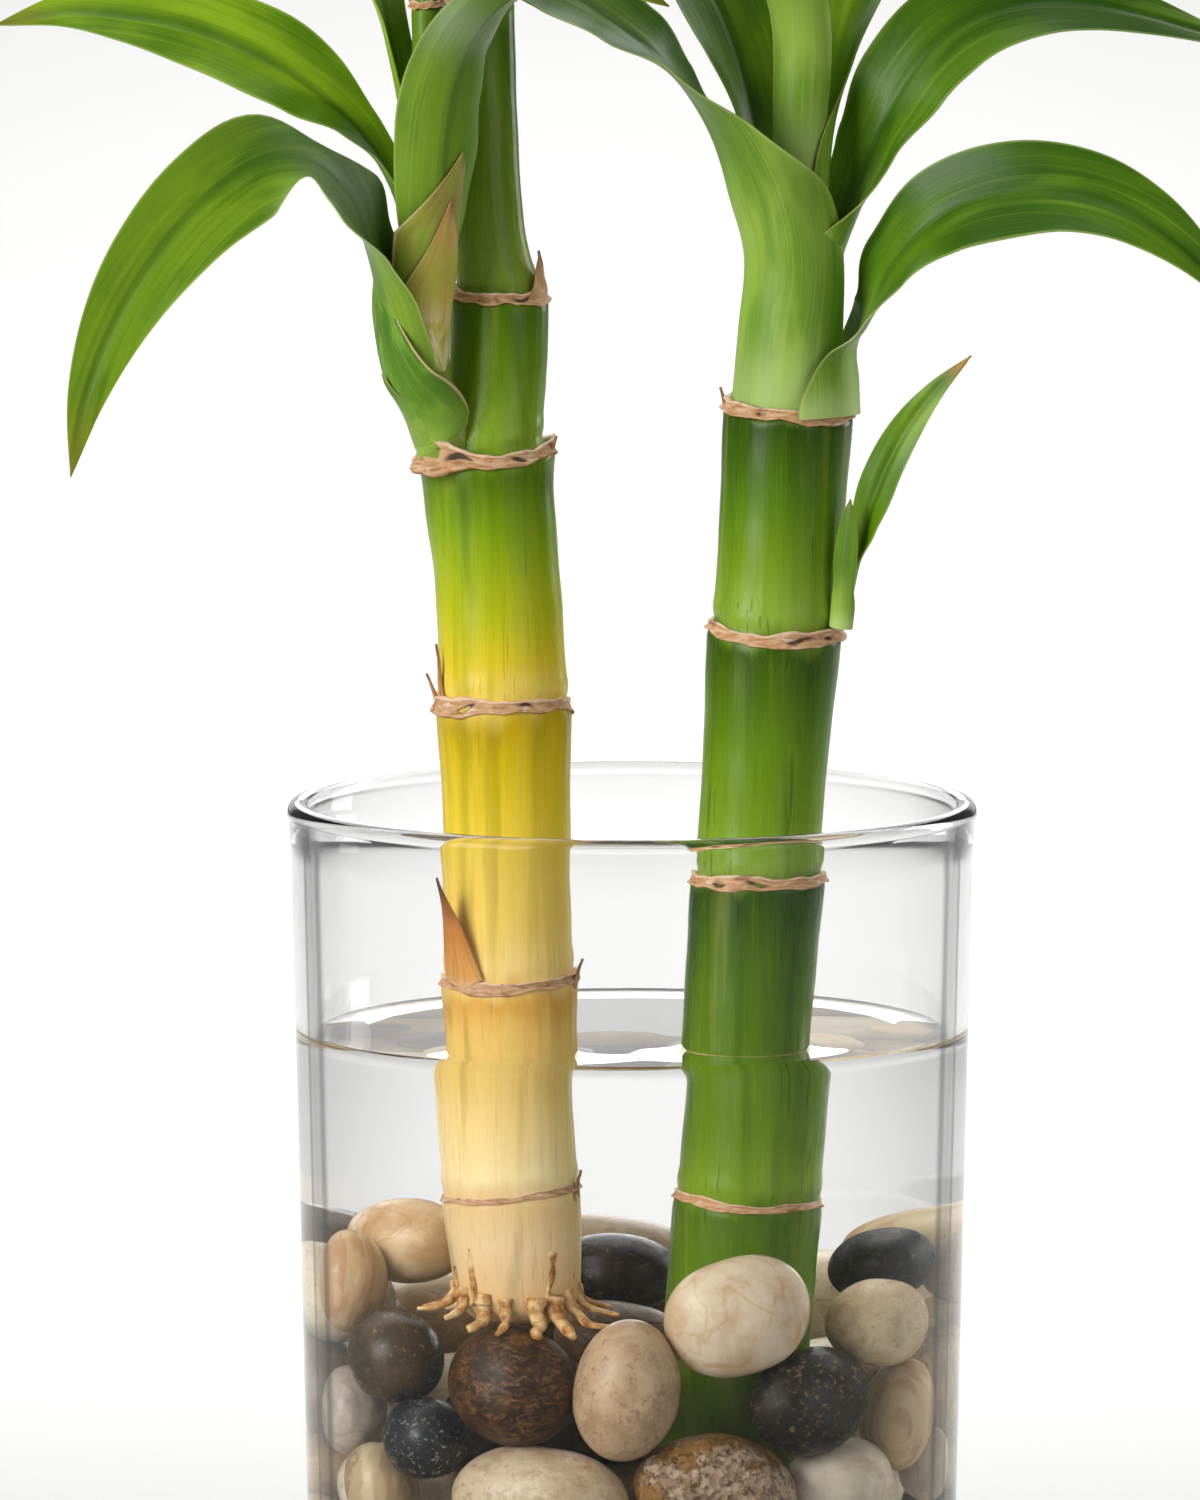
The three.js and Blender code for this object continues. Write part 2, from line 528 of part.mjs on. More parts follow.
// The radius of the ring that is nearest to a height.
function radiusAt(rings, height) {
  const off = (ring) => Math.abs(ring[0] - height);
  return rings.reduce((best, ring) => (off(ring) < off(best) ? ring : best))[1];
}

// Roots that spread from the cut foot of the yellow cane over the pebbles.
function rootGeometry(k) {
  const turn = 2 * Math.PI * (k + between(-0.25, 0.25)) / rootCount;
  const reach = between(4.2, 6.6);
  const centre = axisAt(yellowAxis, 60);
  const points = [
    [5.2, 61.6], [8.2, 60.2], [8 + reach * 0.45, 59], [8 + reach, 58.4],
  ].map(([r, z], i) => {
    const swing = turn + i * between(-0.09, 0.09);
    return new THREE.Vector3(centre.x + r * Math.cos(swing), centre.y + r * Math.sin(swing), z);
  });
  return taperedTube(points, [between(0.85, 1.15), 0.4], 5);
}

function join(parts) {
  return parts.map(solidOf).reduce((whole, part) => whole.add(part));
}

function tipsOf(stem, axis) {
  return dryTips.filter((tip) => tip[0] === stem).map((tip) => dryTipGeometry(axis, ...tip.slice(1)));
}

function yellowCaneGeometry() {
  const cane = stemGeometry(yellowAxis, yellowOutline, yellowRings, caneSides);
  const shoot = stemGeometry(shootAxis, shootOutline, shootRings, shootSides);
  const roots = Array.from({ length: rootCount }, (_, k) => rootGeometry(k));
  return geometryOf(join([cane, shoot, ...roots, ...tipsOf('yellow', yellowAxis)]));
}

function greenCaneGeometry() {
  const cane = stemGeometry(greenAxis, greenOutline, greenRings, caneSides);
  return geometryOf(join([cane, ...tipsOf('green', greenAxis)]));
}

// A pebble's points about its centre: a rounded box of three half sizes, uneven by a slow wave, then turned.
function pebblePoints(halfSizes, turns) {
  const ball = weld(new THREE.IcosahedronGeometry(1, 1));
  const phase = [draw() * 6, draw() * 6, draw() * 6];
  const turn = new THREE.Euler(...turns.map((degrees) => THREE.MathUtils.degToRad(degrees)));
  const points = [];
  const roundness = 2.35;
  for (let i = 0; i < ball.attributes.position.count; i += 1) {
    const d = new THREE.Vector3().fromBufferAttribute(ball.attributes.position, i).normalize();
    const size = (Math.abs(d.x) ** roundness + Math.abs(d.y) ** roundness + Math.abs(d.z) ** roundness);
    const uneven = 1 + 0.035 * Math.sin(2.1 * d.x + phase[0]) + 0.035 * Math.sin(2.4 * d.y + phase[1])
      + 0.03 * Math.sin(2.2 * d.z + phase[2]);
    d.multiplyScalar(size ** (-1 / roundness) * uneven);
    d.multiply(new THREE.Vector3(...halfSizes)).applyEuler(turn);
    points.push(d);
  }
  return { points, index: Array.from(ball.index.array) };
}

function makePebble(name, centre, halfSizes, turns, colour, shown) {
  const shape = pebblePoints(halfSizes, turns);
  const home = new THREE.Vector3(...centre);
  const reach = Math.max(...halfSizes) * 1.1;
  return { name, home, centre: home.clone(), ...shape, colour, shown, reach, give: shown ? shownGive : 1 };
}

// How far a set of points reaches along a direction.
function reachAlong(points, direction) {
  let most = -Infinity;
  for (const p of points) most = Math.max(most, p.dot(direction));
  return most;
}

// The gap between two rounded bodies along the best dividing direction found so far, kept in a cache.
const dividers = new Map();
function gapBetween(a, b, tries) {
  const key = a.name + '|' + b.name;
  const apart = b.centre.clone().sub(a.centre);
  const gapAlong = (n) => apart.dot(n) - reachAlong(a.points, n) - reachAlong(b.points, n.clone().negate());
  let best = dividers.get(key) || apart.clone().normalize();
  let gap = gapAlong(best);
  const level = new THREE.Vector3(apart.x, apart.y, 0).normalize();
  for (const trial of [apart.clone().normalize(), level]) {
    const trialGap = gapAlong(trial);
    if (trialGap > gap) {
      best = trial;
      gap = trialGap;
    }
  }
  for (let k = 0; k < tries; k += 1) {
    const spread = k % 2 ? 0.06 : 0.25;
    const nudge = new THREE.Vector3();
    nudge.set(between(-spread, spread), between(-spread, spread), between(-spread, spread));
    const trial = best.clone().add(nudge).normalize();
    const trialGap = gapAlong(trial);
    if (trialGap > gap) {
      best = trial;
      gap = trialGap;
    }
  }
  dividers.set(key, best);
  return { gap, direction: best };
}

// The canes and the spread of the roots, as fixed bodies that the pebbles lie against.
function fixedBody(name, axis, low, high, radius) {
  const points = [];
  for (const z of [low, high]) {
    const centre = axisAt(axis, z);
    for (let k = 0; k < 16; k += 1) {
      const angle = Math.PI * k / 8;
      points.push(new THREE.Vector3(Math.cos(angle), Math.sin(angle), 0).multiplyScalar(radius).add(centre));
    }
  }
  const centre = axisAt(axis, (low + high) / 2);
  points.forEach((p) => p.sub(centre));
  const reach = Math.max(...points.map((p) => p.length()));
  return { name, centre, points, reach, fixed: true, give: 0 };
}

// Keeps a pebble inside the glass, over its floor.
function keepInside(pebble) {
  let deepest = -Infinity;
  const push = new THREE.Vector3();
  for (const p of pebble.points) {
    const x = p.x + pebble.centre.x;
    const y = p.y + pebble.centre.y;
    const z = p.z + pebble.centre.z;
    const far = Math.hypot(x, y);
    const room = z < 13 ? innerRadius(z) - 1.6 : innerRadius(z) - 0.5;
    if (far - room > deepest) {
      deepest = far - room;
      push.set(-x / far, -y / far, 0);
    }
    pebble.centre.z += Math.max(0, glassFloor + seat + 0.05 - z);
    pebble.centre.z -= Math.max(0, z - (waterBottom - 0.6));
  }
  if (deepest > 0) pebble.centre.addScaledVector(push, deepest);
}

// Settles the bed: loose pebbles sink, the shown ones are held near their places, and all push each other
// apart, but those that are bound in a cluster are drawn together until they just overlap.
function settle(bodies, bonds, { rounds, sink, hold, tries }) {
  for (let round = 0; round < rounds; round += 1) {
    for (const pebble of bodies) {
      if (pebble.fixed) continue;
      pebble.centre.z -= sink;
      if (pebble.shown) pebble.centre.lerp(pebble.home, hold);
    }
    for (let i = 0; i < bodies.length; i += 1) {
      for (let j = i + 1; j < bodies.length; j += 1) {
        const a = bodies[i];
        const b = bodies[j];
        if (a.fixed && b.fixed) continue;
        const bound = bonds.has(a.name + '|' + b.name);
        if (!bound && a.centre.distanceTo(b.centre) > a.reach + b.reach + reachMargin) continue;
        const { gap, direction } = gapBetween(a, b, tries);
        const wanted = bound ? -bondDepth : seat + 0.05;
        if (gap >= wanted && !bound) continue;
        const step = (wanted - gap) / (a.give + b.give);
        a.centre.addScaledVector(direction, -step * a.give);
        b.centre.addScaledVector(direction, step * b.give);
      }
    }
    bodies.filter((body) => !body.fixed).forEach(keepInside);
  }
}

// Rubs down the pebbles that still press into each other, and lets the bed settle again.
function easePressed(bodies, bonds) {
  for (let pass = 0; pass < 20; pass += 1) {
    const pressed = new Set();
    for (let i = 0; i < bodies.length; i += 1) {
      for (let j = i + 1; j < bodies.length; j += 1) {
        const a = bodies[i];
        const b = bodies[j];
        const apart = a.centre.distanceTo(b.centre) > a.reach + b.reach + reachMargin;
        if (apart || (a.fixed && b.fixed) || bonds.has(a.name + '|' + b.name)) continue;
        if (gapBetween(a, b, 12).gap < 0.7 * seat) pressed.add(a).add(b);
      }
    }
    const rubbed = [...pressed].filter((body) => !body.fixed);
    if (!rubbed.length) return;
    rubbed.forEach((body) => body.points.forEach((p) => p.multiplyScalar(0.985)));
    settle(bodies, bonds, { rounds: 25, sink: 0, hold: 0, tries: 5 });
  }
}

// Lets each shown pebble that nothing holds sink until it lies on its neighbours.
function dropFree(bodies) {
  const shown = bodies.filter((body) => body.shown).sort((a, b) => a.centre.z - b.centre.z);
  for (const pebble of shown) {
    for (let step = 0; step < 80; step += 1) {
      const near = bodies.filter((body) => body !== pebble
        && body.centre.distanceTo(pebble.centre) < body.reach + pebble.reach + reachMargin);
      const gaps = near.map((body) => gapBetween(pebble, body, 24).gap);
      if (Math.min(...gaps) < 2 * seat) break;
      pebble.centre.z -= 0.1;
    }
  }
}

// Gathers the loose pebbles into clusters of near neighbours, and binds each to its nearest in the cluster.
function gatherClusters(loose, bonds) {
  const left = loose.slice().sort((a, b) => a.centre.z - b.centre.z);
  const clusters = [];
  while (left.length) {
    const cluster = [left.shift()];
    while (left.length && cluster.length < clusterSize) {
      let best = null;
      for (const mate of left) {
        for (const member of cluster) {
          const far = mate.centre.distanceTo(member.centre);
          if (!best || far < best.far) best = { mate, member, far };
        }
      }
      if (best.far > bondReach) break;
      cluster.push(best.mate);
      left.splice(left.indexOf(best.mate), 1);
      bonds.add([best.mate, best.member].sort((a, b) => a.order - b.order).map((p) => p.name).join('|'));
    }
    clusters.push(cluster);
  }
  return clusters;
}

// The loose pebbles that fill the bed round the shown ones, in rings from the floor up.
function loosePebbles(shown) {
  const loose = [];
  for (const [height, ringRadius, howMany] of bedRings) {
    for (let k = 0; k < howMany; k += 1) {
      const angle = 2 * Math.PI * (k + between(-0.2, 0.2) + height / 26) / howMany;
      const radius = ringRadius + between(-1.5, 1.5);
      const place = [radius * Math.cos(angle), radius * Math.sin(angle), height + between(-2, 2)];
      const half = [between(8.4, 11.2), between(7.4, 9.2), between(6.6, 8.4)];
      const along = THREE.MathUtils.radToDeg(angle) + 90;
      const turns = [between(-25, 25), between(-25, 25), along + between(-30, 30)];
      const spot = new THREE.Vector3(...place);
      const onShown = shown.some((p) => p.home.distanceTo(spot) < 12);
      const onYellow = height > 50 && axisAt(yellowAxis, height).distanceTo(spot) < 17;
      const onGreen = height > 26 && axisAt(greenAxis, height).distanceTo(spot) < 17;
      if (onShown || onYellow || onGreen) continue;
      const name = 'loose_' + String(loose.length + 1);
      loose.push(makePebble(name, place, half, turns, '', false));
    }
  }
  return loose;
}

// The whole bed of pebbles, settled: the shown ones by themselves, and the rest in clusters.
function pebbleBed() {
  const shown = shownPebbles.map(([name, centre, half, tilt, colour]) => {
    const round = THREE.MathUtils.radToDeg(Math.atan2(centre[0], -centre[1]));
    return makePebble('pebble_' + name, centre, half, [0, tilt, round * 0.8], colour, true);
  });
  const loose = loosePebbles(shown);
  const fixed = [
    fixedBody('yellow', yellowAxis, 56.2, 110, 10.4),
    fixedBody('roots', yellowAxis, 57, 61, 15.6),
    fixedBody('green', greenAxis, 31.6, 110, 10.4),
  ];
  const bodies = [...shown, ...loose, ...fixed];
  bodies.forEach((body, order) => {
    body.order = order;
  });
  const bonds = new Set();
  settle(bodies, bonds, { rounds: 200, sink: 0.1, hold: 0.3, tries: 2 });
  const clusters = gatherClusters(loose, bonds);
  settle(bodies, bonds, { rounds: 200, sink: 0.05, hold: 0.1, tries: 3 });
  settle(bodies, bonds, { rounds: 200, sink: 0, hold: 0, tries: 5 });
  easePressed(bodies, bonds);
  dropFree(bodies);
  return { shown, clusters };
}

function pebbleGeometry(pebble) {
  const position = pebble.points.flatMap((p) => p.clone().add(pebble.centre).toArray());
  return facingOut(position, pebble.index.slice());
}

const group = new THREE.Group();

function addPiece(name, geometry, colour, roughness) {
  const material = new THREE.MeshStandardMaterial({ color: colour, roughness, metalness: 0 });
  const mesh = new THREE.Mesh(geometry, material);
  mesh.name = name;
  group.add(mesh);
}

addPiece('vase', vaseGeometry(), '#eef3f3', 0.03);
addPiece('water', waterGeometry(), '#e4ecec', 0.02);
addPiece('cane_yellow', yellowCaneGeometry(), '#d8b548', 0.35);
addPiece('cane_green', greenCaneGeometry(), '#3f8a22', 0.35);
for (const leaf of leaves) addPiece(leaf.name, leafGeometry(leaf), '#4f9a2c', 0.4);
const bed = pebbleBed();
for (const pebble of bed.shown) addPiece(pebble.name, pebbleGeometry(pebble), pebble.colour, 0.4);
bed.clusters.forEach((cluster, k) => {
  const geometry = geometryOf(join(cluster.map(pebbleGeometry)));
  addPiece('pebbles_' + String(k + 1).padStart(2, '0'), geometry, bedColours[k % bedColours.length], 0.4);
});

export default group;
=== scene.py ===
import json
import math

import bpy
import numpy as np
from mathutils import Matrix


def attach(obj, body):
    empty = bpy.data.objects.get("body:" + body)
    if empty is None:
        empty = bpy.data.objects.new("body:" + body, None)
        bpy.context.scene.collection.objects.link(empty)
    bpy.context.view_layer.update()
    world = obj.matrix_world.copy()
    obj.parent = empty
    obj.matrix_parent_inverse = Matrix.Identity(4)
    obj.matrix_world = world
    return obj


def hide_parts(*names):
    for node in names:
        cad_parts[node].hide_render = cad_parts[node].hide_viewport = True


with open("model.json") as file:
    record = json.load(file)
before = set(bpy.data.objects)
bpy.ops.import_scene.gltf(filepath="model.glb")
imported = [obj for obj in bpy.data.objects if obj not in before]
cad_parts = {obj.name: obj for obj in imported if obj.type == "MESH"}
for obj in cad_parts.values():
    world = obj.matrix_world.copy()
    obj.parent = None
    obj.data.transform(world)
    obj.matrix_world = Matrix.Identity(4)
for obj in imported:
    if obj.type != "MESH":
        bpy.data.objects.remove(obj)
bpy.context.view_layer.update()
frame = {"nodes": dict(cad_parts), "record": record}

# Sizes are in millimetres, as in the solids, and become metres when a mesh is made.
MM = 0.001

# The vase and its water: radii, heights and the sizes of the rounded heel, bead and inner corner, how
# far the water climbs, then how many points each round shape has.
VASE_HEIGHT = 130.0
FOOT_RADIUS = 47.7
TOP_RADIUS = 50.9
WALL = 3.0
GLASS_FLOOR = 8.0
FLOOR_CROWN = 0.25
HEEL_RADIUS = 2.4
BEAD_CENTRE = [49.59, 128.2]
BEAD_SIZES = [1.69, 1.8]
BEAD_SWELL = 0.35
CORNER_TOP = 12.4
CORNER_SIZES = [4.4, 4.2]
GLASS_INDEX = 1.5
WATER_INDEX = 1.333
WATER_TOP = 95.6
WATER_INTO_GLASS = 0.12
MENISCUS_RISE = 0.6
CANE_MENISCUS_RISE = 0.66
MENISCUS_WIDTH = 1.5
CANE_AT_WATER = 9.5
VASE_SIDES = 192
WATER_SIDES = 232
WATER_RINGS = 120
CANE_SIDES = 112
YELLOW_STEP = 0.58
GREEN_STEP = 0.62
SHOOT_STEP = 0.7
SHOOT_SIDES = 48
RING_SIDES = 276

# The way that each stem's axis takes, as x, y, z from the root end up.
YELLOW_AXIS = [
    [-14.6, -26.5, 50], [-15.6, -27, 66], [-17.4, -27.5, 95], [-18.7, -27.8, 137], [-19.7, -27.6, 163],
    [-21.4, -27, 184], [-19.8, -25.6, 196], [-19.7, -24.6, 208], [-21.6, -23.8, 219], [-22.6, -22.4, 245],
    [-22.4, -20.8, 270], [-22, -20, 300],
]
GREEN_AXIS = [
    [11.6, -15.4, 30], [14, -19.2, 64], [16.5, -20.5, 95], [20, -20.2, 143], [23.1, -19, 190],
    [24.2, -18.3, 215], [25.2, -17.5, 245], [25.6, -16.6, 275], [25.6, -16, 310],
]
SHOOT_AXIS = [
    [-27, -31, 182], [-30.4, -34, 192], [-31.4, -35, 203], [-31, -35, 214], [-30.5, -34.6, 226],
    [-30, -34, 240], [-30.2, -33, 252], [-30.6, -31.6, 268], [-30.4, -30, 290],
]

# Each stem's outline, as height and radius.
YELLOW_OUTLINE = [
    [56.6, 5.8], [57.8, 7.4], [59.6, 8.3], [66, 8.95], [74.6, 9.5], [76.6, 9.2], [90, 9.4], [100, 9.7],
    [105.6, 10], [108, 9.4], [122, 9.3], [138, 9.6], [146.6, 10.1], [149.4, 9.4], [166, 9.2], [179, 9.6],
    [183.8, 10], [186.4, 7.8], [196, 7.1], [207, 7.3], [209.4, 5.9], [220, 5.6], [250.8, 5.3], [253, 3.2],
    [261.4, 3.1], [262.4, 2.5], [269.6, 2.4], [270.6, 2], [280, 1.6], [290, 0.4],
]
GREEN_OUTLINE = [
    [32, 8.4], [33.5, 9.2], [60, 9.5], [72.4, 9.7], [75, 9.3], [93.4, 9.4], [95.6, 9.4], [112, 9.7],
    [120.4, 9.9], [122.8, 9.1], [140, 9.3], [156.2, 10], [158.8, 9.1], [175, 9.2], [189.6, 9.6],
    [191.2, 6.2], [199.6, 6.2], [200.4, 4.9], [209.4, 4.9], [210.2, 4.1], [218.2, 4.1], [219, 3.3],
    [234, 3.4], [246, 3.1], [248, 2.8], [266, 2.4], [276, 1.7], [285, 0.4],
]
SHOOT_OUTLINE = [
    [182, 3.4], [199.6, 3.45], [200.6, 2.95], [212, 2.95], [213, 2.4], [250.8, 2.4], [253.4, 1.8],
    [264, 1.6], [277, 0.4],
]

# Papery rings: height, radius, half height, how far it slants and towards which degrees, how far it
# bows and towards which degrees.
YELLOW_RINGS = [
    [75.6, 9.45, 0.5, 1.3, 0, 0.2, 0], [106.8, 9.95, 0.8, 0.4, 0, 0.35, 0],
    [147.9, 10.0, 1.05, 0.3, 200, 0.5, -60], [185, 9.9, 1.15, 0.5, 10, 0.5, 0],
    [208.2, 7.2, 0.95, 0.25, 180, 0.2, 0], [252, 5.3, 0.8, 0.2, 0, 0.1, 0],
]
GREEN_RINGS = [
    [73.7, 9.6, 0.62, 1.0, 180, 0.45, 0], [94.4, 9.4, 0.22, 0.15, 180, 0.1, 0],
    [121.6, 9.85, 1.1, 0.15, 180, 0.15, 0], [157.6, 9.95, 0.95, 0.5, 180, 0.6, 0],
    [190.5, 9.55, 0.95, 0.7, 180, 0.2, 0],
]
SHOOT_RINGS = [[252, 2.5, 0.6, 0.1, 0, 0.1, 0]]

# Hollows sunk in the rings, darkened with painted shade: the ring's height, degrees round it, how
# many degrees wide.
RING_HOLLOWS = [
    [185, 298, 9], [185, 246, 14], [208.2, 300, 20], [190.5, 241, 4], [121.6, 232, 9], [121.6, 268, 14],
    [157.6, 292, 14], [157.6, 322, 6], [147.9, 236, 12], [147.9, 290, 9], [106.8, 300, 10],
]
# Where a ring is thicker and crumpled: the ring's height, degrees, how wide, how much.
RING_FOLDS = [[185, 219, 27, 2.8], [147.9, 205, 30, 0.6], [190.5, 205, 22, 0.5], [157.6, 335, 30, 0.6]]

# A ring's relief: its thickness, its lips, the groove between them, the depth of its hollows, and how
# far its hidden inner side lies inside the stem.
RING_THICKNESS = 0.24
LIP_HEIGHT = 0.16
GROOVE_DEPTH = 0.08
HOLLOW_DEPTH = 0.35
RING_INSIDE = [1.3, 1.2]

# Dry tips of old sheaths: height, degrees round the stem, length, lean out, half width.
YELLOW_TIPS = [
    [107.2, 226, 16.0, 4.2, 4.2], [106.8, 345, 3.4, 1.2, 1.5], [75.6, 338, 3.8, 1.0, 1.4],
    [148, 192, 4.4, 1.4, 1.8], [149, 205, 8.0, 0.5, 0.8], [208.2, 338, 6.6, 0.5, 4.0],
    [185, 342, 2.6, 0.6, 1.8],
]
GREEN_TIPS = [[158, 345, 2.8, 1.2, 2.1], [190.8, 186, 3.0, 0.8, 1.5]]

# Old sheaths that wrap the side shoot, and the axis that they wrap: height of foot and tip, degrees
# round it, radius at the foot and at the tip, half width, how soon it narrows, how soon it opens from
# its foot, how late it flares, dryness from 0 for green to 1.
SHEATH_AXIS = [
    [-27.2, -31, 182], [-28.5, -32.4, 190], [-30.7, -34.2, 196.5], [-31.4, -35, 203], [-31.6, -35, 214],
    [-31.8, -34.8, 226], [-31.4, -34.2, 240],
]
SHOOT_SHEATHS = [
    [185.2, 214.5, 213, 4.0, 7.5, 11.5, 1.12, 9, 0.8, 0.0],
    [189.6, 197.6, 206, 4.2, 6.6, 3.0, 1.3, 9, 1.0, 0.0],
    [198.0, 223.4, 314, 4.4, 7.4, 6.4, 1.9, 3.4, 1.6, 1.0],
    [198.0, 230.6, 322, 3.9, 8.6, 9.0, 2.6, 3, 1.6, 0.45],
    [186.0, 216.0, 332, 3.6, 4.9, 9.0, 1.5, 9, 1.0, 0.3],
]

# A blade's cross-sections and the points across each one; how thick a leaf is along its middle and how
# much thinner at its edges.
LEAF_STATIONS = 96
LEAF_COLUMNS = 23
SCALE_STATIONS = 40
SCALE_COLUMNS = 15
LEAF_THICKNESS = 0.46
LEAF_THINNING = 0.24

# A sheath's lower edge, where nothing else is given, as a share of its radius, and its share of the
# leaf over that of its height.
SHEATH_FOOT = 0.94
SHEATH_REACH = 1.1

# A leaf's relief: waves along its edge and finer ones with their share of the height, the crease along
# its middle by depth and half width, its veins, and from where on and over how much its tip dries.
EDGE_WAVES = 19
FINE_WAVES = 43
FINE_SHARE = 0.2
CREASE_DEPTH = 0.3
CREASE_WIDTH = 0.6
VEIN_HEIGHT = 0.015
VEIN_WAVES = 34
DRY_FROM = 0.86
DRY_OVER = 0.12

# From how many degrees between two faces on an edge is drawn sharp.
LEAF_CREASE = 50
SCALE_CREASE = 60

# How far a dry tip starts below its ring and inside the ring's radius, how tall one is that stays
# orange, and how crumpled tips and old sheaths are.
TIP_FOOT = 1.2
TIP_INSIDE = 0.15
TALL_TIP = 12
TIP_CRUMPLE = 0.12
SHEATH_CRUMPLE = 0.08

# A root's middle lies this far out from the cane's axis, and its tip is this share as thick.
ROOT_FOOT = 8.35
ROOT_TAPER = 0.42

# Roots of the yellow cane: degrees round it, height where it starts, reach out from the cane, height
# where it ends, radius. Those of no reach are ridges that run down the cane.
ROOTS = [
    [190, 62.0, 6.4, 58.0, 0.7], [206, 61.6, 4.6, 57.2, 0.95], [232, 61.0, 3.6, 55.8, 1.3],
    [254, 60.4, 2.4, 55.2, 1.0], [284, 60.6, 3.4, 55.0, 1.35], [305, 61.0, 5.6, 55.2, 1.4],
    [322, 61.8, 6.8, 56.2, 0.9], [342, 62.6, 6.0, 57.6, 0.7], [2, 62.0, 5.0, 58.4, 0.6],
    [45, 61.6, 4.6, 57.6, 1.0], [90, 61.2, 4.0, 57.0, 1.1], [135, 61.4, 5.0, 57.2, 1.0],
    [168, 62.0, 4.8, 58.0, 0.7], [221, 67.6, 0.3, 59.0, 0.8], [303, 67.4, 0.3, 58.8, 0.9],
    [192, 64.6, 0.4, 59.4, 0.6], [330, 64.8, 0.4, 59.0, 0.6],
]
